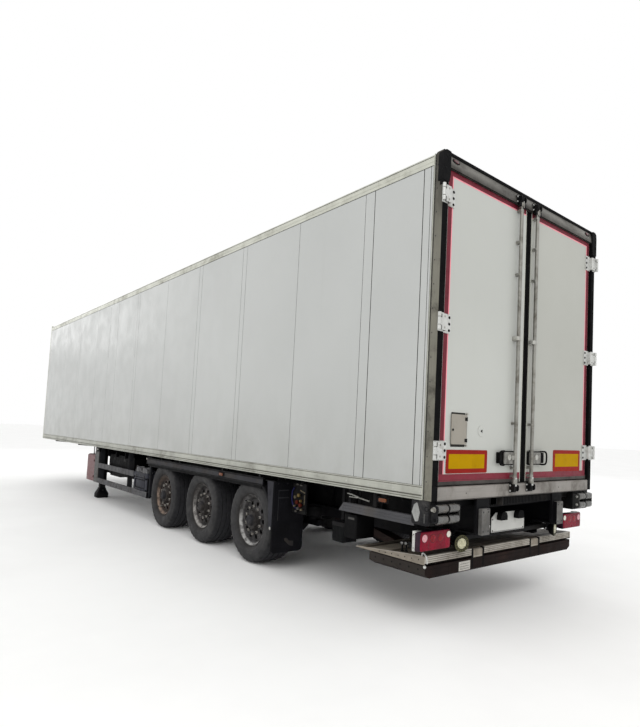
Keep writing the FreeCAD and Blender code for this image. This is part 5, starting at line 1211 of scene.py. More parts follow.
# mud flaps: ribbed rubber with a scuffed lower field, on a bent hanger, and the quarter fender ahead of each
k = Kit("mud_flap_set", slot="rubber_black")
for side, s in SIDES:
    k.side = s
    k.use(M["flap"])
    flap = rounded([(0.868, 0.206), (1.268, 0.206), (1.268, 0.992), (0.868, 0.992)], [0.055, 0.035, 0.004, 0.004], 5)
    k.prism(flap, "X", st(2.3265), st(2.3335), 0.001)
    for i in range(13):
        y = 0.890 + 0.0285 * i
        k.box(st(2.3255), st(2.3275), y, y + 0.012, 0.56, 0.985, 0.0008)
    for i in range(8):
        y = 0.890 + 0.048 * i
        k.box(st(2.3257), st(2.3275), y, y + 0.006, 0.27, 0.50, 0.0008)
    for z in (0.248, 0.520):
        k.box(st(2.3255), st(2.3275), 0.885, 1.258, z, z + 0.007, 0.0008)
    # bright worn slats across the upper field, and the scuff near its lower edge
    k.use(M["dusty"])
    for z in (0.800, 0.880):
        k.box(st(2.3250), st(2.3268), 1.078, 1.216, z, z + 0.014, 0.0006)
    k.box(st(2.3252), st(2.3262), 1.206, 1.212, 0.560, 0.880, 0.0003)
    k.prism(rounded([(0.985, 0.262), (1.040, 0.275), (1.105, 0.335), (1.112, 0.366), (1.070, 0.356), (1.050, 0.330), (0.990, 0.322)], 0.010, 3), "X", st(2.3257), st(2.3268), 0.0003)
    k.use(M["chassis"]).box(st(2.3335), st(2.340), 0.874, 1.262, 0.930, 0.990, 0.001)
    k.box(st(2.3255), st(2.525), 0.870, 1.266, 0.9805, 0.9915, 0.001)
    k.box(st(2.332), st(2.339), 0.88, 1.225, 0.985, 1.0595, 0.001)
    k.use(M["dusty"])
    for y in (0.90, 1.00, 1.10, 1.22):
        k.bolt((st(2.3262), y, 0.962), (-1, 0, 0), 0.008, 0.0012, False)
    # fender: an arc over the rear quarter of the rear wheel
    k.use(M["plastic_black"])
    bm = bmesh.new()
    cx, cz = st(2.89), 0.485
    prof = [(1.268, -0.020), (1.268, 0.0), (1.262, 0.006), (0.885, 0.006), (0.879, 0.0), (0.879, -0.006), (0.882, -0.001), (1.262, -0.001), (1.2635, -0.020)]
    rings = []
    for i in range(15):
        a = math.radians(178 - 62 * i / 14)
        rings.append([bm.verts.new((cx + (0.532 + dr) * math.cos(a), y, cz + (0.532 + dr) * math.sin(a))) for y, dr in prof])
    n = len(prof)
    for p, q in zip(rings, rings[1:]):
        for i in range(n):
            bm.faces.new((p[i], p[(i + 1) % n], q[(i + 1) % n], q[i]))
    bm.faces.new(rings[0])
    bm.faces.new(rings[-1])
    bmesh.ops.recalc_face_normals(bm, faces=bm.faces[:])
    k.add(bm)
    # hanger strap outside the fender, its foot bolt and the dark strip below
    k.use(M["strap"]).prism(rounded([(st(2.345), 0.985), (st(2.345), 0.470), (st(2.372), 0.440), (st(2.400), 0.470), (st(2.470), 0.985)], [0.004, 0.01, 0.012, 0.01, 0.004], 3), "Y", 1.2695, 1.2745, 0.0015)
    k.use(M["galv"]).bolt((st(2.372), 1.2745, 0.475), (0, 1, 0), 0.011, 0.006)
    k.use(M["rubber"]).box(st(2.341), st(2.352), 1.255, 1.268, 0.225, 0.980, 0.002)
k.side = 1
k.done("mud_flaps")

# control panel of the air system beside the rear axle: a shadowed plate with valves, knobs and test couplings
k = Kit("valve_panel", slot="plastic_black")
k.use(M["black"]).prism(rounded(rect(st(1.965), st(2.215), 0.662, 0.985), 0.012, 3), "Y", 1.078, 1.100, 0.002)
k.box(st(2.05), st(2.09), 1.05, 1.08, 0.975, 1.0595, 0.002)
# knobs, couplings, printed strips and pipe take darkened copies of their colours: painted shade under the body
k.use(M["knob_shaded"])
for x, z in ((2.13, 0.972), (2.06, 0.968)):
    k.box(st(x - 0.022), st(x + 0.022), 1.100, 1.106, z - 0.010, z + 0.008, 0.002)
for x, z, c, r in ((2.060, 0.862, "yellow_shaded", 0.020), (2.125, 0.838, "cream_shaded", 0.017), (2.020, 0.806, "yellow_shaded", 0.015), (2.090, 0.786, "orange_shaded", 0.024), (2.025, 0.760, "orange_shaded", 0.022),
                   (2.130, 0.742, "cream_shaded", 0.012), (2.065, 0.722, "knob_shaded", 0.016), (2.005, 0.715, "cream_shaded", 0.012), (2.100, 0.690, "knob_shaded", 0.012)):
    k.use(M["black"]).lathe([(0, 0), (0, r * 0.6), (0.018, r * 0.6), (0.018, 0)], (st(x), 1.100, z), (0, 1, 0), 16)
    k.use(M[c]).lathe([(0.018, 0), (0.018, r * 0.92), (0.022, r), (0.034, r), (0.040, r * 0.8), (0.040, 0)], (st(x), 1.100, z), (0, 1, 0), 22)
# printed edge strips and the bent blue guard pipe at the front of the panel
k.use(M["cream_shaded"]).prism([(st(1.985), 0.885), (st(2.075), 0.905), (st(2.078), 0.918), (st(1.985), 0.898)], "Y", 1.100, 1.1015)
k.prism([(st(1.985), 0.765), (st(1.997), 0.765), (st(1.997), 0.870), (st(1.985), 0.870)], "Y", 1.100, 1.1015)
k.use(M["blue_dim"]).pipe([(st(2.170), 1.112, 0.935), (st(2.205), 1.112, 0.900), (st(2.212), 1.112, 0.800), (st(2.180), 1.112, 0.735), (st(2.110), 1.112, 0.715)], 0.008, 12, 0.03)
k.done()

# side marker lamps and the small position lamps where the guards begin
k = Kit("side_marker_lamps", slot="plastic_black")
for side, s in SIDES:
    k.side = s
    for x, z, y in ((0.577, 0.993, 1.270), (3.556, 0.965, 1.284)):
        base = 1.20 if y < 1.28 else 1.28
        if y < 1.28:
            k.use(M["chassis"]).prism([(st(x - 0.03), 1.05), (st(x + 0.03), 1.05), (st(x + 0.03), z - 0.02), (st(x - 0.03), z - 0.02)], "Y", y - 0.012, y - 0.006, 0.001)
        k.use(M["seal"]).prism(rounded(rect(st(x - 0.075), st(x + 0.075), z - 0.026, z + 0.026), 0.012, 4), "Y", y - 0.006, y + 0.004, 0.002)
        k.use(M["amber"]).prism(rounded(rect(st(x - 0.048), st(x + 0.048), z - 0.016, z + 0.016), 0.010, 4), "Y", y + 0.003, y + 0.0125, 0.004, 2)
    for x, z in ((6.187, 0.990), (8.800, 1.000)):
        k.use(M["seal"]).prism(rounded(rect(st(x - 0.030), st(x + 0.030), z - 0.026, 1.05), 0.008, 3), "Y", 1.238, 1.246, 0.001)
        k.lathe([(0, 0), (0, 0.024), (0.008, 0.022), (0.008, 0)], (st(x), 1.245, z), (0, 1, 0), 20)
        k.use(M["lens_white"] if x < 7 else M["galv"]).dome((st(x), 1.252, z), (0, 1, 0), 0.018 if x < 7 else 0.010, 0.010, 18)
k.side = 1
k.done()

# =====================================================================
# dock buffers, rollers, rear lamps and lamp bar
# =====================================================================
k = Kit("dock_buffer_boxes", slot="chassis_paint")
for side, s in SIDES:
    k.side = s
    k.use(M["black"])
    # folded housing: inner body and the deep outer wall with rounded edges
    k.prism(rounded([(st(0.033), 0.850), (st(0.205), 0.850), (st(0.215), 0.862), (st(0.215), 1.0495), (st(0.033), 1.0495)], [0.004, 0.01, 0.01, 0.004, 0.004], 2), "Y", 0.968, 1.266, 0.003)
    k.use(M["housing"]).prism(rounded([(st(0.033), 0.852), (st(0.060), 0.848), (st(0.200), 0.852), (st(0.2145), 0.870), (st(0.2145), 1.0495), (st(0.033), 1.0495)], [0.012, 0.012, 0.020, 0.012, 0.006, 0.006], 4), "Y", 1.258, 1.2915, 0.010, 3)
    # cheeks that carry the roller shafts
    for y, key in ((0.978, "endplate"), (1.114, "black"), (1.250, "housing")):
        cheek = rounded([(st(0.040), 0.876), (st(-0.030), 0.876), (st(-0.0375), 0.888), (st(-0.0375), 1.008), (st(-0.030), 1.018), (st(0.040), 1.018)], [0, 0.012, 0.012, 0.012, 0.010, 0], 3)
        k.use(M[key]).prism(cheek, "Y", y + 0.0002, y + 0.0078, 0.0012)
    k.use(M["galv"])
    k.bolt((st(-0.004), 1.258, 0.985), (0, 1, 0), 0.0145, 0.030)
    for z in (0.989, 0.905):
        k.bolt((st(-0.012), 0.978, z), (0, -1, 0), 0.010, 0.010)
    k.use(M["black"]).bolt((st(-0.012), 1.258, 0.905), (0, 1, 0), 0.010, 0.010)
    k.use(M["black"])
    for y in (1.02, 1.20):
        for z in (0.862, 1.038):
            k.bolt((st(0.0335), y, z), (-1, 0, 0), 0.009, 0.006)
    # bright bolt, raised collar, and a pale diamond-shaped patch on the outer wall that is a painted highlight
    k.use(M["black"]).lathe([(0, 0.014), (0, 0.021), (0.0008, 0.020), (0.0008, 0.015)], (st(0.048), 1.2911, 0.985), (0, 1, 0), 24, closed=True)
    k.use(M["facet"]).prism(rounded([(st(0.118), 0.952), (st(0.135), 0.880), (st(0.168), 0.872), (st(0.2105), 0.945), (st(0.188), 1.008), (st(0.150), 1.032)], 0.010, 3), "Y", 1.2895, 1.2918, 0.0010)
    k.use(M["endplate"]).box(st(0.062), st(0.076), 1.2905, 1.2917, 0.872, 0.945, 0.0004)
    # gusset between the housing and the beam side
    k.use(M["black"]).prism([(st(0.2155), 0.872), (st(0.300), 0.920), (st(0.300), 1.0495), (st(0.2155), 1.0495)], "Y", 1.195, 1.203, 0.001)
k.side = 1
k.done("dock_buffer_housings")

for side, s in SIDES:
    for level, z in (("upper", 0.989), ("lower", 0.905)):
        k = Kit("roller_%s_%s" % (level, side), "rollers_%s_%s" % (level, side), "stainless")
        k.side = s
        for y0 in (0.991, 1.127):
            k.use(M["chrome"]).lathe([(0, 0.0125), (0, 0.029), (0.002, 0.0335), (0.006, 0.0358), (0.056, 0.0358), (0.058, 0.0352), (0.061, 0.0352), (0.063, 0.0358), (0.112, 0.0358), (0.116, 0.0335), (0.118, 0.029), (0.118, 0.0125)],
                                     (st(-0.012), y0, z), (0, 1, 0), 44)
        k.use(M["galv"])
        # shaft between the cheeks, in two lengths either side of the middle one
        k.rod((st(-0.012), 0.9865, z), (st(-0.012), 1.1135, z), 0.0125, 20)
        k.rod((st(-0.012), 1.1225, z), (st(-0.012), 1.2495, z), 0.0125, 20)
        k.done("dock_rollers_%s_%s" % (level, side))

k = Kit("rear_lamp_clusters", slot="lamp_red")
for side, s in SIDES:
    k.side = s
    k.use(M["lamp_body"])
    k.prism(rounded([(st(0.108), 0.634), (st(0.186), 0.640), (st(0.186), 0.792), (st(0.108), 0.794)], 0.014, 3), "Y", 0.917, 1.288, 0.006, 2)
    # crowned lens in one piece
    bm = bmesh.new()
    rings = []
    for x, inset, r in ((0.1135, 0.0, 0.020), (0.1085, 0.0015, 0.020), (0.1056, 0.006, 0.020), (0.1042, 0.014, 0.018), (0.1037, 0.030, 0.014)):
        rings.append([bm.verts.new((st(x), p[0], p[1])) for p in rounded(rect(0.920 + inset, 1.286 - inset, 0.638 + inset, 0.791 - inset), r, 5)])
    n = len(rings[0])
    for p, q in zip(rings, rings[1:]):
        for i in range(n):
            bm.faces.new((p[i], p[(i + 1) % n], q[(i + 1) % n], q[i]))
    bm.faces.new(rings[0])
    bm.faces.new(rings[-1])
    bmesh.ops.recalc_face_normals(bm, faces=bm.faces[:])
    k.use(M["lens_red"]).add(bm)
    k.use(M["lens_dark"])
    for y in (0.990, 1.188):
        k.box(st(0.1030), st(0.1040), y, y + 0.003, 0.655, 0.775, 0.0004)
    # round fields: inner clear, two deep red, outer pink
    for y, z, r, mat in ((0.945, 0.752, 0.026, "lens_white"), (1.238, 0.742, 0.031, "lens_pink"), (1.045, 0.735, 0.032, "lens_deep"), (1.140, 0.735, 0.032, "lens_deep")):
        k.use(M["lens_dark"]).lathe([(0, r), (0, r + 0.004), (0.0018, r + 0.003), (0.0018, r)], (st(0.1042), y, z), (-1, 0, 0), 30, closed=True)
        k.use(M[mat]).lathe([(0, 0), (0, r), (0.0016, r * 0.985), (0.0028, r * 0.80), (0.0034, r * 0.45), (0.0036, 0)], (st(0.1042), y, z), (-1, 0, 0), 28)
    # pale bracket wrapped round the outer end
    k.use(M["lamp_bracket"]).prism(rounded([(st(0.163), 0.634), (st(0.192), 0.634), (st(0.192), 0.795), (st(0.150), 0.795), (st(0.150), 0.786), (st(0.166), 0.780), (st(0.163), 0.760)], 0.003, 2), "Y", 1.2860, 1.2918, 0.001)
    k.prism([(st(0.150), 0.7895), (st(0.192), 0.7895), (st(0.192), 0.7955), (st(0.150), 0.7955)], "Y", 1.230, 1.290, 0.0008)
    k.use(M["black"])
    for z in (0.660, 0.768):
        k.bolt((st(0.178), 1.2905, z), (0, 1, 0), 0.006, 0.0014, False)
k.side = 1
k.done("tail_lamps")

k = Kit("lamp_carrier", slot="chassis_paint")
k.use(M["black"]).prism(rounded([(st(0.192), 0.655), (st(0.236), 0.655), (st(0.236), 0.700), (st(0.192), 0.700)], 0.004, 2), "Y", -1.289, 1.289, 0.001)
k.use(M["plate_white"]).prism(rounded([(-0.268, 0.692), (0.268, 0.692), (0.268, 0.825), (0.204, 0.8725), (-0.204, 0.8725), (-0.268, 0.825)], 0.004, 2), "X", st(0.1655), st(0.1705), 0.0012)
k.use(M["endplate"])
k.box(st(0.1652), st(0.1662), -0.262, 0.262, 0.6955, 0.7005, 0.0003)
for y, z in ((-0.250, 0.708), (0.250, 0.708), (-0.250, 0.812), (0.250, 0.812)):
    k.use(M["black"]).dome((st(0.1656), y, z), (-1, 0, 0), 0.008, 0.0006, 12)
k.use(M["black"])
k.box(st(0.170), st(0.232), -0.20, -0.15, 0.698, 0.79, 0.002)
k.box(st(0.170), st(0.232), 0.15, 0.20, 0.698, 0.79, 0.002)
for y in (-0.138, 0.138):    # hooded plate lamps in front of the holder, with shaded windows below
    k.use(M["seal"])
    k.prism(rounded([(y - 0.050, 0.806), (y + 0.050, 0.806), (y + 0.050, 0.845), (y + 0.034, 0.882), (y - 0.034, 0.882), (y - 0.050, 0.845)], [0.006, 0.006, 0.03, 0.035, 0.035, 0.03], 6), "X", st(0.112), st(0.1650), 0.008, 3)
    k.use(M["lens_clear_dim"]).box(st(0.120), st(0.158), y - 0.036, y + 0.036, 0.8035, 0.8068, 0.001)
    k.use(M["black"]).bolt((st(0.1125), y, 0.850), (-1, 0, 0), 0.006, 0.002, False)
for side, s in SIDES:
    k.side = s
    # stays from the beam ends down to the bar
    k.use(M["black"]).prism([(st(0.18), 0.6985), (st(0.236), 0.6985), (st(0.236), 0.72), (st(0.20), 0.72)], "Y", 0.60, 0.66, 0.001)
    # round work lamp on its bracket, turned a little outwards
    c = Vector((st(0.172), 0.742, 0.654))
    d = Vector((-1.0, 0.30, 0.0)).normalized()
    k.use(M["seal"]).lathe([(0, 0), (0.0, 0.030), (0.012, 0.052), (0.030, 0.066), (0.046, 0.072), (0.062, 0.074), (0.066, 0.072), (0.066, 0.066)], c, d, 40)
    k.use(M["work_ring"]).lathe([(0.056, 0.050), (0.066, 0.050), (0.0675, 0.054), (0.0675, 0.066), (0.066, 0.0725), (0.056, 0.0725)], c, d, 48, closed=True)
    up = Vector((0, 0, 1))
    out = d.cross(up).normalized()
    for i in range(16):      # cooling ribs round the rim
        a = math.radians(22.5 * i)
        p = c + d * 0.0665 + (out * math.cos(a) + up * math.sin(a)) * 0.0615
        k.use(M["seal"]).rod(p, p + d * 0.0028, 0.0042, 8)
    k.use(M["lens_work"]).dome(c + d * 0.060, d, 0.051, 0.012, 36)
    k.use(M["work_ring"])
    for a in (45, 135):      # cross shaped reflector seen through the lens
        q = (out * math.cos(math.radians(a)) + up * math.sin(math.radians(a))) * 0.040
        k.rod(c + d * 0.0675 - q, c + d * 0.0675 + q, 0.0022, 8)
    k.use(M["dusty"]).box(st(0.176), st(0.194), 0.728, 0.756, 0.630, 0.699, 0.002)
k.side = 1
k.done("lamp_bar")

# =====================================================================
# tail lift
# =====================================================================
k = Kit("lift_tip_section", "platform", "lift_alloy")
hw = 1.168


def wedge(xa, xb, za, zb, zc, zd):
    return [(st(xa), za), (st(xb), zc), (st(xb), zd), (st(xa), zb)]


# grooved rear edge: lips with shaded grooves between them, parted at the hinge slots
top, bot = 0.5795, 0.5085
lips = [(0.5205, 0.5320), (0.5350, 0.5480), (0.5510, 0.5640), (0.5670, 0.5795)]
parts_y = ((-hw + 0.003, -0.5560), (-0.3700, 0.3700), (0.5560, hw - 0.003))
for ya, yb in parts_y:
    k.use(M["lift_edge"])
    for z0, z1 in lips:
        k.prism(rounded([(st(0.1605), z0), (st(0.190), z0), (st(0.190), z1), (st(0.1605), z1)], [0.003, 0, 0, 0.003], 3), "Y", ya, yb, 0)
    k.use(M["lift_groove"]).box(st(0.1660), st(0.19), ya + 0.001, yb - 0.001, 0.510, 0.578, 0)
    for y in (ya + 0.0012, yb - 0.0042):
        k.box(st(0.1625), st(0.19), y, y + 0.003, 0.509, 0.579, 0)
# end stops of the lips at the corners
for sgn in (1, -1):
    k.side = sgn
    k.use(M["lift_edge"]).prism(rounded([(st(0.1602), 0.5200), (st(0.186), 0.5200), (st(0.186), 0.5797), (st(0.1602), 0.5797)], 0.004, 2), "Y", 1.1490, 1.1672, 0.001)
    k.use(M["lift_groove"]).box(st(0.1600), st(0.1612), 1.1400, 1.1470, 0.509, 0.579, 0.0003)
k.side = 1
# body of the tip: planks along Y that taper to the front edge
x = 0.190
plank = 0
while x < 1.020:
    x2 = min(x + 0.0835, 1.025)
    # planks behind 0.50 m take the darker deck as painted shade; every fourth plank is a dark strip
    k.use(M["grip_dark"] if plank % 4 == 0 else M["grip"] if x > 0.50 else M["grip_mid"])
    plank += 1

    def zt(q):
        return 0.5795 - (0.5795 - 0.5178) * max(0.0, q - 0.22) / 0.812

    if x < 0.205:       # the plank beside the hinge blocks is parted too
        for ya, yb in parts_y:
            k.prism([(st(x + 0.0008), 0.5085), (st(0.2120), 0.5085), (st(0.2120), 0.5795), (st(x + 0.0008), 0.5795)], "Y", max(ya, -hw + 0.004), min(yb, hw - 0.004), 0.0008)
        x = 0.2125
    k.prism([(st(x + 0.0008), 0.5085), (st(x2 - 0.0008), 0.5085), (st(x2 - 0.0008), zt(x2)), (st(x + 0.0008), zt(x))], "Y", -hw + 0.004, hw - 0.004, 0.0008)
    x = x2
k.use(M["lift_edge"])
k.prism(rounded([(st(1.024), 0.5085), (st(1.0315), 0.509), (st(1.0315), 0.5165), (st(1.024), 0.5180)], [0, 0.002, 0.002, 0], 2), "Y", -hw + 0.004, hw - 0.004, 0)
for side, s in SIDES:
    k.side = s
    # side plate with a row of holes and edge pads
    k.use(M["tip_side"]).prism([(st(0.162), 0.5085), (st(1.030), 0.5085), (st(1.030), 0.5178), (st(0.22), 0.5797), (st(0.162), 0.5797)], "Y", 1.1635, 1.1676, 0.0006)
    k.use(M["lift_edge"]).prism([(st(0.19), 0.5760), (st(0.22), 0.5760), (st(1.026), 0.5150), (st(1.026), 0.5180), (st(0.22), 0.5798), (st(0.19), 0.5798)], "Y", 1.1570, 1.1679, 0.0004)
    k.use(M["seal"])
    for i in range(7):
        k.lathe([(0, 0), (0, 0.006), (0.0002, 0.006), (0.0002, 0)], (st(0.23 + 0.080 * i), 1.1676, 0.543 - 0.0030 * i), (0, 1, 0), 12)
k.side = 1
k.done("lift_tip")

k = Kit("lift_platform_section", "platform", "lift_steel")
z0, z1, hw = 0.390, 0.500, 1.160
k.use(M["lift_low"])
# hollow planks along Y: rear edge profile, end pieces and body
k.prism(rounded([(st(0.1605), z0 + 0.002), (st(0.200), z0 + 0.002), (st(0.200), z1 - 0.004), (st(0.1605), z1 - 0.004)], [0.010, 0, 0, 0.006], 3), "Y", -hw + 0.064, hw - 0.064, 0)
for s in (1, -1):
    k.side = s
    k.prism([(hw - 0.0645, z0 + 0.002), (hw - 0.060, z0 + 0.003), (hw - 0.002, z0 + 0.034), (hw - 0.002, z1 - 0.005), (hw - 0.0645, z1 - 0.005)], "X", st(0.1615), st(0.200), 0.0012)
k.side = 1
k.use(M["lift_groove"])
k.box(st(0.1600), st(0.1606), -hw + 0.07, hw - 0.07, z1 - 0.034, z1 - 0.029, 0.0001)
k.box(st(0.1600), st(0.1606), -hw + 0.07, hw - 0.07, z0 + 0.030, z0 + 0.034, 0.0001)
for y in (-0.95, -0.70, -0.46, 0.20, 0.46, 0.86):
    k.box(st(0.1600), st(0.1606), y, y + 0.004, z0 + 0.004, z1 - 0.006, 0.0001)
k.use(M["lift_low"])
x = 0.200
while x < 0.840:
    x2 = min(x + 0.0915, 0.8495)
    k.prism([(-hw + 0.003, z0 + 0.0345), (-hw + 0.0625, z0 + 0.001), (hw - 0.0625, z0 + 0.001), (hw - 0.003, z0 + 0.0345), (hw - 0.003, z1 - 0.001), (-hw + 0.003, z1 - 0.001)], "X", st(x + 0.0008), st(x2 - 0.0008), 0.0010)
    x = x2
k.use(M["lift_side"])
for s in (1, -1):
    k.side = s
    k.prism([(st(0.162), z0 + 0.036), (st(0.848), z0 + 0.036), (st(0.848), z1 - 0.0015), (st(0.162), z1 - 0.0015)], "Y", hw - 0.004, hw - 0.0005, 0.0006)
    k.use(M["seal"])
    for i in range(6):
        k.lathe([(0, 0), (0, 0.008), (0.0004, 0.008), (0.0004, 0)], (st(0.24 + 0.105 * i), hw - 0.0005, z0 + 0.072), (0, 1, 0), 14)
    k.use(M["lift_side"])
k.side = 1
k.use(M["label"]).box(st(0.1598), st(0.1606), 0.572, 0.728, 0.402, 0.482, 0.0002)
k.use(M["label_band"])
for z in (0.416, 0.436, 0.458):
    k.box(st(0.1596), st(0.1602), 0.590, 0.710, z, z + 0.006, 0.0001)
for s in (1, -1):
    k.side = s
    # hinge blocks of the tip with their pins and the dark gaps beside them
    k.use(M["seal"])
    for y0, y1 in ((0.3715, 0.3965), (0.5295, 0.5545)):
        k.box(st(0.1603), st(0.1900), y0, y1, 0.4700, 0.578, 0.0006)
        k.box(st(0.1598), st(0.1610), y0 + 0.002, y1 - 0.002, 0.410, 0.4985, 0.0003)
    k.use(M["grip"])
    k.prism(rounded([(st(0.1605), 0.4985), (st(0.204), 0.4985), (st(0.204), 0.574), (st(0.1605), 0.574)], [0.002, 0.01, 0.018, 0.018], 4), "Y", 0.3972, 0.5288, 0.002)
    k.use(M["galv"]).rod((st(0.182), 0.382, 0.548), (st(0.182), 0.5445, 0.548), 0.0098, 16)
    k.use(M["lift_edge"])
    k.box(st(0.1602), st(0.1612), 0.405, 0.521, 0.505, 0.512, 0.0002)
    # rubber rests for the folded tip
    k.use(M["rubber"]).box(st(0.7605), st(0.8095), 0.851, 0.949, 0.4995, 0.5083, 0.002)
    # cheeks for the arms and the tilt cylinders, with their pins
    k.use(M["lift_steel"])
    for a in (0.374, 0.538):
        k.prism(rounded([(st(0.845), 0.399), (st(1.194), 0.399), (st(1.194), 0.479), (st(0.845), 0.479)], [0, 0.030, 0.030, 0], 5), "Y", a + 0.0005, a + 0.0135, 0.002)
    for a in (0.258, 0.330):
        k.prism(rounded([(st(0.840), 0.411), (st(1.147), 0.411), (st(1.147), 0.575), (st(1.084), 0.575), (st(1.074), 0.495), (st(0.840), 0.495)], [0, 0.012, 0.024, 0.020, 0.010, 0], 4), "Y", a + 0.0005, a + 0.0115, 0.002)
    k.use(M["galv"])
    k.rod((st(1.15), 0.3745, 0.44), (st(1.15), 0.5515, 0.44), 0.0198, 24)
    k.rod((st(1.128), 0.2585, 0.548), (st(1.128), 0.3415, 0.548), 0.0148, 24)
    k.bolt((st(1.15), 0.5508, 0.44), (0, 1, 0), 0.011, 0.0011, False)
k.side = 1
k.done("lift_platform")

k = Kit("lift_corner_fittings", "platform", "stainless")
for s in (1, -1):
    k.side = s
    # spring catches on the tip's edge and the bent bar at its rear corner
    k.use(M["chrome"])
    for x, z in ((0.405, 0.5770), (0.452, 0.5728)):
        k.use(M["seal"]).lathe([(0, 0), (0, 0.016), (0.006, 0.016), (0.010, 0.008), (0.058, 0.0075), (0.058, 0)], (st(x), 1.138, z - 0.004), (0, 0, 1), 18)
        k.use(M["chrome"]).lathe([(0.052, 0), (0.054, 0.009), (0.060, 0.0165), (0.070, 0.0200), (0.080, 0.0165), (0.086, 0.009), (0.088, 0)], (st(x), 1.138, z - 0.004), (0, 0, 1), 22)
    if s < 0:
        continue
    k.use(M["hinge"]).pipe([(st(0.196), 1.1600, 0.5800), (st(0.190), 1.1680, 0.6040), (st(0.166), 1.1720, 0.6060), (st(0.134), 1.1720, 0.5800), (st(0.128), 1.1720, 0.5280)], 0.0060, 12, 0.018)
    k.lathe([(0, 0), (0.002, 0.007), (0.007, 0.0125), (0.013, 0.014), (0.019, 0.0125), (0.024, 0.007), (0.026, 0)], (st(0.150), 1.164, 0.498), (0, 1, 0), 20)
    k.rod((st(0.164), 1.158, 0.498), (st(0.150), 1.166, 0.498), 0.005, 10)
k.side = 1
k.done()

for node, key in (("lift_carriage", "lift_steel"), ("lift_arms", "lift_steel")):
    dress(node, key)

# tilt cylinders: painted barrel with a gland, worn rod, eyes
k = Kit("tilt_cylinder_pair", "tilt_links", "lift_steel")
far, near = Vector((st(1.128), 0, 0.548)), Vector((st(1.958), 0, 0.718))
d = (near - far).normalized()
reach = (near - far).length
for side, s in SIDES:
    k.side = s
    y = Vector((0, 0.300, 0))
    k.use(M["chrome"]).rod(far + y + d * 0.024, far + y + d * 0.42, 0.0138, 24)
    k.use(M["lift_steel"]).lathe([(0, 0.0145), (0, 0.019), (0.004, 0.0215), (0.030, 0.0215), (0.033, 0.0238), (reach - 0.432, 0.0238), (reach - 0.424, 0.021), (reach - 0.424, 0)], far + y + d * 0.40, d, 28)
    for c in (far, near):
        k.lathe([(0, 0.01505), (0, 0.025), (0.002, 0.0268), (0.052, 0.0268), (0.054, 0.025), (0.054, 0.01505)], c + Vector((0, 0.273, 0)), (0, 1, 0), 28, closed=True)
k.side = 1
k.done("tilt_cylinders")

# =====================================================================
# wheels
# =====================================================================
def tyre_material(name, cx):
    """Worn rubber: darker tread, dust on the sidewall that thickens towards the bead, faint rings."""
    g = Graph(name)
    r = g.radius(cx, 0.485)
    base = g.mix(rgb("1b1b1d"), rgb("28282a"), g.rng(g.noise(9, 5, 0.6), 0.3, 0.7))
    dust = g.rng(g.noise(7, 8, 0.7, dist=0.6), 0.34, 0.74, 0.15, 0.75)
    wall = g.math("MULTIPLY", g.rng(r, 0.478, 0.455, 0, 1), dust)
    col = g.mix(base, rgb("474645"), g.math("MULTIPLY", wall, 0.75))
    low = g.math("MULTIPLY", g.rng(r, 0.345, 0.300, 0, 0.6), g.rng(g.noise(14, 5, 0.7), 0.3, 0.7, 0.3, 1.0))
    col = g.mix(col, rgb("2c2825"), low)
    tread = g.rng(r, 0.470, 0.4835, 0, 0.55)
    col = g.mix(col, rgb("37373b"), g.math("MULTIPLY", tread, g.rng(g.noise(30, 4, 0.7), 0.3, 0.7, 0.3, 1)))
    rings = g.math("SINE", g.math("MULTIPLY", r, 1400.0))
    n1 = g.bump(rings, 0.10, 0.0006)
    n2 = g.bump(g.noise(160, 5, 0.65), 0.22, 0.0015, n1)
    return g.finish(col, g.rng(g.noise(12, 4, 0.6), 0.3, 0.7, 0.68, 0.86), 0.0, n2, Specular_IOR_Level=0.25)


def rim_material(name, cx, light, dark, rust, ring):
    """Silver paint under road dirt: a worn pale ring at the lip of the disc, full below the axle and faded above it as
    painted light and shade, a darker band at the bead seat, brown dirt round the hub.
    """
    g = Graph(name)
    r = g.radius(cx, 0.485)
    wobble = g.math("MULTIPLY", g.math("SUBTRACT", g.noise(9, 4, 0.6), 0.5), 0.022)
    rr = g.math("ADD", r, wobble)
    base = g.mix(rgb(dark), rgb(light), g.rng(g.noise(6, 6, 0.65), 0.35, 0.72))
    base = g.mix(base, rgb(rust), g.rng(g.noise(11, 7, 0.72, dist=0.5), 0.46, 0.72, 0, 0.85))
    lip = g.math("MULTIPLY", g.rng(rr, 0.256, 0.272, 0, 1), g.rng(r, 0.2915, 0.2875, 0, 1))
    lip = g.math("MULTIPLY", lip, g.rng(g.noise(16, 6, 0.72), 0.36, 0.64, 0.15, 1))
    # painted light and shade: the worn ring shows full below the axle and fades above it, as its lower part faces the
    # light
    lip = g.math("MULTIPLY", lip, g.rng(g.axis(2), 0.66, 0.44, 0.18, 1.0))
    col = g.mix(base, rgb(ring), lip)
    edge = g.math("MULTIPLY", g.rng(rr, 0.290, 0.300, 0, 1), g.rng(g.noise(26, 5, 0.7), 0.38, 0.7, 0, 0.8))
    col = g.mix(col, rgb(ring), g.math("MULTIPLY", edge, 0.6))
    hub = g.rng(rr, 0.150, 0.120, 0, 0.75)
    col = g.mix(col, rgb("1f1a17"), hub)
    # darker band at the bead seat between flange and tyre
    dish = g.math("MULTIPLY", g.rng(r, 0.284, 0.288, 0, 1), g.rng(r, 0.2945, 0.2915, 0, 1))
    col = g.mix(col, rgb("241f1b"), g.math("MULTIPLY", dish, 0.7))
    specks = g.rng(g.noise(120, 4, 0.8), 0.62, 0.7, 0, 0.5)
    col = g.mix(col, rgb("8d8478"), specks)
    n = g.bump(g.noise(70, 6, 0.7), 0.35, 0.002)
    return g.finish(col, g.rng(g.noise(8, 4, 0.6), 0.3, 0.7, 0.5, 0.8), 0.25, n, Specular_IOR_Level=0.35)


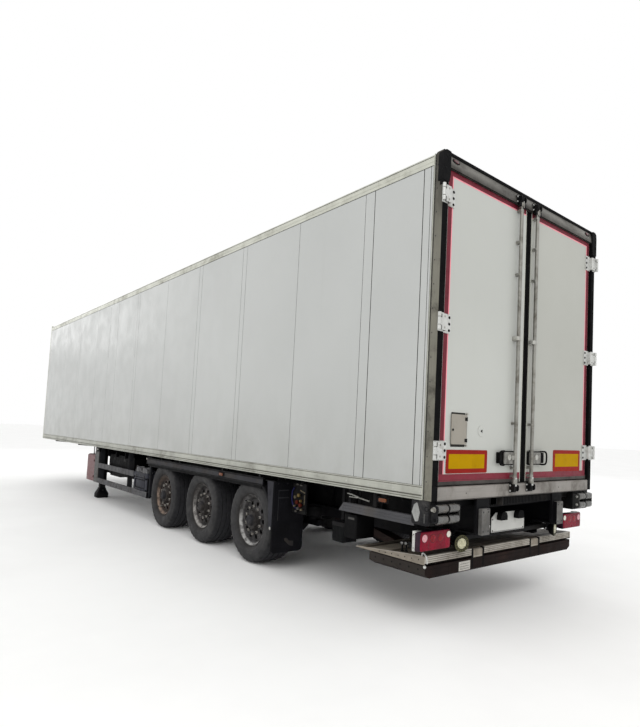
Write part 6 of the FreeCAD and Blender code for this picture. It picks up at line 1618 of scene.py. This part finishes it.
# tyre section from bead to bead round the outside, then back along the liner: (across, radius, notch depth)
GROOVE = 0.0115
TYRE_OUT = [(0.1465, 0.2885, 0), (0.1468, 0.300, 0), (0.1485, 0.3045, 0), (0.158, 0.3085, 0), (0.1600, 0.3125, 0), (0.1685, 0.3180, 0), (0.1690, 0.3205, 0), (0.1735, 0.3260, 0), (0.1800, 0.3390, 0),
            (0.1848, 0.3500, 0), (0.1862, 0.3520, 0), (0.1862, 0.3560, 0), (0.1856, 0.3580, 0), (0.1890, 0.3700, 0), (0.1912, 0.3840, 0), (0.1905, 0.4000, 0), (0.1892, 0.4120, 0), (0.1898, 0.4135, 0),
            (0.1894, 0.4175, 0), (0.1876, 0.4190, 0), (0.1850, 0.4300, 0.0), (0.1822, 0.4380, 0.001), (0.1780, 0.4490, 0.0035), (0.1745, 0.4590, 0.006), (0.1712, 0.4645, 0.008), (0.1660, 0.4690, 0.008),
            (0.1600, 0.4730, 0.008), (0.1515, 0.4775, 0.0065), (0.1400, 0.4790, 0.004), (0.1180, 0.4802, 0)]
for a0, a1 in ((0.106, 0.093), (0.042, 0.029), (-0.029, -0.042), (-0.093, -0.106)):
    ra = 0.4848 - 0.0030 * min(1, (abs(a0) / 0.11) ** 2)
    TYRE_OUT += [(a0 + 0.0012, ra, 0), (a0 - 0.0008, ra - 0.0014, 0), (a0 - 0.0024, ra - GROOVE, 0), (a1 + 0.0024, ra - GROOVE, 0), (a1 + 0.0008, ra - 0.0014, 0), (a1 - 0.0012, ra, 0)]
TYRE_OUT += [(-a, r, d) for a, r, d in reversed(TYRE_OUT[:30])]
TYRE_IN = [(-0.126, 0.2885, 0), (-0.127, 0.312, 0), (-0.158, 0.345, 0), (-0.168, 0.385, 0), (-0.160, 0.425, 0), (-0.140, 0.455, 0), (0.140, 0.455, 0), (0.160, 0.425, 0), (0.168, 0.385, 0), (0.158, 0.345, 0), (0.127, 0.312, 0), (0.126, 0.2885, 0)]


def tyre_mesh(k, x, y, n=156):
    bm = bmesh.new()
    prof = TYRE_OUT + TYRE_IN
    rings = []
    for i in range(n):
        t = 2 * math.pi * i / n
        ca, sa = math.cos(t), math.sin(t)
        notch = 1.0 if i % 4 in (0, 1) else 0.0
        ring = []
        for a, r, d in prof:
            q = r - d * notch
            ring.append(bm.verts.new((x + q * ca, y + a, 0.485 + q * sa)))
        rings.append(ring)
    m = len(prof)
    for i in range(n):
        p, q = rings[i], rings[(i + 1) % n]
        for j in range(m):
            bm.faces.new((p[j], p[(j + 1) % m], q[(j + 1) % m], q[j]))
    bmesh.ops.recalc_face_normals(bm, faces=bm.faces[:])
    k.add(bm)


RIM_RING = [(0.1500, 0.2985), (0.1535, 0.2975), (0.1550, 0.2930), (0.1525, 0.2885), (0.1400, 0.2810), (0.1180, 0.2620), (0.1000, 0.2440), (0.0950, 0.2390), (0.0860, 0.2390), (0.0870, 0.2470),
            (0.0700, 0.2640), (-0.0200, 0.2600), (-0.1000, 0.2600), (-0.1200, 0.2740), (-0.1460, 0.2830), (-0.1530, 0.2885), (-0.1550, 0.2930), (-0.1535, 0.2975), (-0.1500, 0.2985), (-0.1440, 0.2885),
            (-0.1150, 0.2730), (0.1150, 0.2750), (0.1440, 0.2885)]


def disc_mesh(k, cx, y, rin=0.120, rout=0.2425, rh=0.196, hr=0.027, n=10):
    """Dished wheel disc with a ring of hand holes."""
    def f(r):
        return 0.1135 - 0.0150 * max(0.0, (r - 0.205) / 0.0375) ** 1.6

    bm = bmesh.new()
    half = math.pi / n
    for i in range(n):
        t0 = 2 * half * i
        edge = [(rout, -half + 2 * half * j / 8, 1) for j in range(8)] + [(rout + (rin - rout) * j / 5, half, 0) for j in range(5)]
        edge += [(rin, half - 2 * half * j / 6, 1) for j in range(6)] + [(rin + (rout - rin) * j / 5, -half, 0) for j in range(5)]
        c = Vector((rh * math.cos(t0), rh * math.sin(t0)))
        loop = []
        for r, a, arc in edge:
            p = Vector((r * math.cos(t0 + a), r * math.sin(t0 + a)))
            h = c + (p - c).normalized() * hr
            h2 = c + (p - c).normalized() * (hr + 0.003)
            loop.append(([bm.verts.new((cx + q.x, y + f(q.length) - d, 0.485 + q.y)) for q, d in ((p, 0), (h2, 0), (h, 0.003), (h, 0.012), (p, 0.012))], arc))
        m = len(loop)
        for j in range(m):
            (u, arc), (w, _) = loop[j], loop[(j + 1) % m]
            for e in range(4):
                bm.faces.new((u[e], w[e], w[e + 1], u[e + 1]))
            if arc:
                bm.faces.new((u[4], w[4], w[0], u[0]))
    bmesh.ops.remove_doubles(bm, verts=bm.verts[:], dist=1e-5)
    bmesh.ops.recalc_face_normals(bm, faces=bm.faces[:])
    k.add(bm)


RIM_LOOKS = {"rear": ("4a4849", "121112", "241f1c", "b3b2b0"), "middle": ("443f3e", "121111", "2b231e", "a5a29e"), "front": ("40362f", "141110", "3d2a20", "8f7c6e")}
for side, s in SIDES:
    for name, x in AXLES:
        cx = st(x)
        tm = tyre_material("tyre_%s_%s" % (name, side), cx)
        light, dark, rust, ring = RIM_LOOKS[name]
        rm = rim_material("rim_%s_%s" % (name, side), cx, light, dark, rust, ring)
        k = Kit("wheel_%s_%s_tyre" % (name, side), "wheel_%s_%s" % (name, side), "tyre")
        k.side = s
        k.use(tm)
        tyre_mesh(k, cx, 1.057)
        k.done("tyre_%s_%s" % (name, side), angle=28)
        # nuts with sleeves and indicators, hub cap and valve
        k = Kit("wheel_%s_%s_fittings" % (name, side), "wheel_%s_%s" % (name, side), "wheel_steel")
        k.side = s
        k.use(rm)
        y = 1.057
        k.lathe(RIM_RING, (cx, y, 0.485), (0, 1, 0), 96, closed=True)
        disc_mesh(k, cx, y)
        for i in range(10):
            t = math.radians(36 * i + 18)
            p = (cx + 0.1675 * math.cos(t), y + 0.1125, 0.485 + 0.1675 * math.sin(t))
            p = (cx + 0.1600 * math.cos(t), y + 0.1115, 0.485 + 0.1600 * math.sin(t))
            k.use(rm).lathe([(0, 0), (0, 0.0195), (0.006, 0.0195), (0.008, 0.0165), (0.008, 0)], p, (0, 1, 0), 18)
            k.use(M["nut"]).lathe([(0.007, 0), (0.007, 0.0165), (0.026, 0.0165), (0.030, 0.0135), (0.030, 0)], p, (0, 1, 0), 6)
            k.use(rm).lathe([(0.028, 0), (0.028, 0.0095), (0.040, 0.0095), (0.042, 0.0075), (0.042, 0)], p, (0, 1, 0), 14)
        # hub: drum face, bolted cap with a raised ring
        k.use(rm)
        k.lathe([(0.108, 0.094), (0.108, 0.126), (0.116, 0.128), (0.122, 0.124), (0.150, 0.108), (0.154, 0.098), (0.154, 0.060), (0.108, 0.060)], (cx, y, 0.485), (0, 1, 0), 48, closed=True)
        k.use(M["dusty"]).lathe([(0.150, 0), (0.150, 0.068), (0.156, 0.068), (0.158, 0.062), (0.180, 0.060), (0.188, 0.054), (0.1925, 0.042), (0.1925, 0.026), (0.1900, 0.022), (0.1900, 0)], (cx, y, 0.485), (0, 1, 0), 48)
        for i in range(6):
            t = math.radians(60 * i + 12)
            k.use(M["dusty"]).bolt((cx + 0.034 * math.cos(t), y + 0.1920, 0.485 + 0.034 * math.sin(t)), (0, 1, 0), 0.0055, 0.003, False)
        for i in range(10):
            t = math.radians(36 * i)
            k.use(rm).bolt((cx + 0.103 * math.cos(t), y + 0.152, 0.485 + 0.103 * math.sin(t)), (0, 1, 0), 0.008, 0.007)
        # valve with its cap
        t = math.radians({"rear": 60, "middle": 205, "front": 310}[name])
        v0 = Vector((cx + 0.232 * math.cos(t), y + 0.108, 0.485 + 0.232 * math.sin(t)))
        k.use(M["galv"]).rod(v0, v0 + Vector((0.012 * math.cos(t), 0.052, 0.012 * math.sin(t))), 0.0045, 10)
        k.use(M["seal"]).rod(v0 + Vector((0.011 * math.cos(t), 0.046, 0.011 * math.sin(t))), v0 + Vector((0.015 * math.cos(t), 0.066, 0.015 * math.sin(t))), 0.0062, 10)
        # brake drum seen from behind
        k.use(M["chassis"]).lathe([(-0.150, 0.175), (-0.150, 0.212), (-0.142, 0.222), (-0.128, 0.222), (-0.120, 0.212), (-0.048, 0.210), (-0.0465, 0.108), (-0.060, 0.108), (-0.062, 0.190), (-0.144, 0.192)], (cx, y, 0.485), (0, 1, 0), 64, closed=True)
        k.done("rim_%s_%s" % (name, side))

# =====================================================================
# floor, light, camera
# =====================================================================
def floor_material():
    g = Graph("studio_floor")
    col = g.mix(rgb("f6f6f5"), rgb("fafaf9"), g.rng(g.noise(0.6, 4, 0.6), 0.3, 0.7))
    return g.finish(col, 0.8, 0.0, g.bump(g.noise(90, 3, 0.6), 0.05, 0.001))


me = bpy.data.meshes.new("studio_ground")
me.from_pydata([(-120, -120, -0.001), (120, -120, -0.001), (120, 120, -0.001), (-120, 120, -0.001)], [], [(0, 1, 2, 3)])
me.materials.append(floor_material())
ground = bpy.data.objects.new("studio_ground", me)
bpy.context.scene.collection.objects.link(ground)

bpy.context.scene.view_settings.view_transform = "Standard"
world = bpy.data.worlds.new("studio")
bpy.context.scene.world = world
world.use_nodes = True
world.node_tree.nodes["Background"].inputs["Color"].default_value = (1.0, 1.0, 1.0, 1)
world.node_tree.nodes["Background"].inputs["Strength"].default_value = 1.0


def area(name, place, target, size, power, color=(1, 1, 1)):
    li = bpy.data.lights.new(name, "AREA")
    li.shape = "RECTANGLE"
    li.size, li.size_y = size
    li.energy = power
    li.color = color
    o = bpy.data.objects.new(name, li)
    bpy.context.scene.collection.objects.link(o)
    o.location = place
    o.rotation_euler = (Vector(target) - Vector(place)).to_track_quat("-Z", "Y").to_euler()
    return o


area("key_light", (-16.0, 10.0, 13.0), (-3.0, 0.5, 2.0), (12.0, 9.0), 620, (1.0, 0.985, 0.96))
area("side_light", (3.0, 16.0, 8.0), (1.0, 1.0, 2.0), (16.0, 7.0), 190)
area("far_light", (6.0, -15.0, 9.0), (0.0, -1.0, 2.0), (16.0, 8.0), 300)
area("front_light", (18.0, 3.0, 8.0), (6.0, 0.0, 2.5), (9.0, 7.0), 250)

cam = bpy.data.cameras.new("camera")
cam.sensor_width = 36.0
cam.lens = 27.6155
cam.shift_x = -0.08253
cam.shift_y = 0.04458
cam.clip_start = 0.05
cam.clip_end = 400
yaw, pitch, roll = math.radians(-42.299), math.radians(3.6946), math.radians(2.5004)
fwd = Vector((math.cos(yaw) * math.cos(pitch), math.sin(yaw) * math.cos(pitch), math.sin(pitch)))
right0 = Vector((math.sin(yaw), -math.cos(yaw), 0))
up0 = right0.cross(fwd)
right = right0 * math.cos(roll) + up0 * math.sin(roll)
up = up0 * math.cos(roll) - right0 * math.sin(roll)
rot = Matrix((right, up, -fwd)).transposed().to_4x4()
camera = bpy.data.objects.new("camera", cam)
camera.matrix_world = Matrix.Translation((-9.8607, 4.5956, 1.580)) @ rot
bpy.context.scene.collection.objects.link(camera)
bpy.context.scene.camera = camera
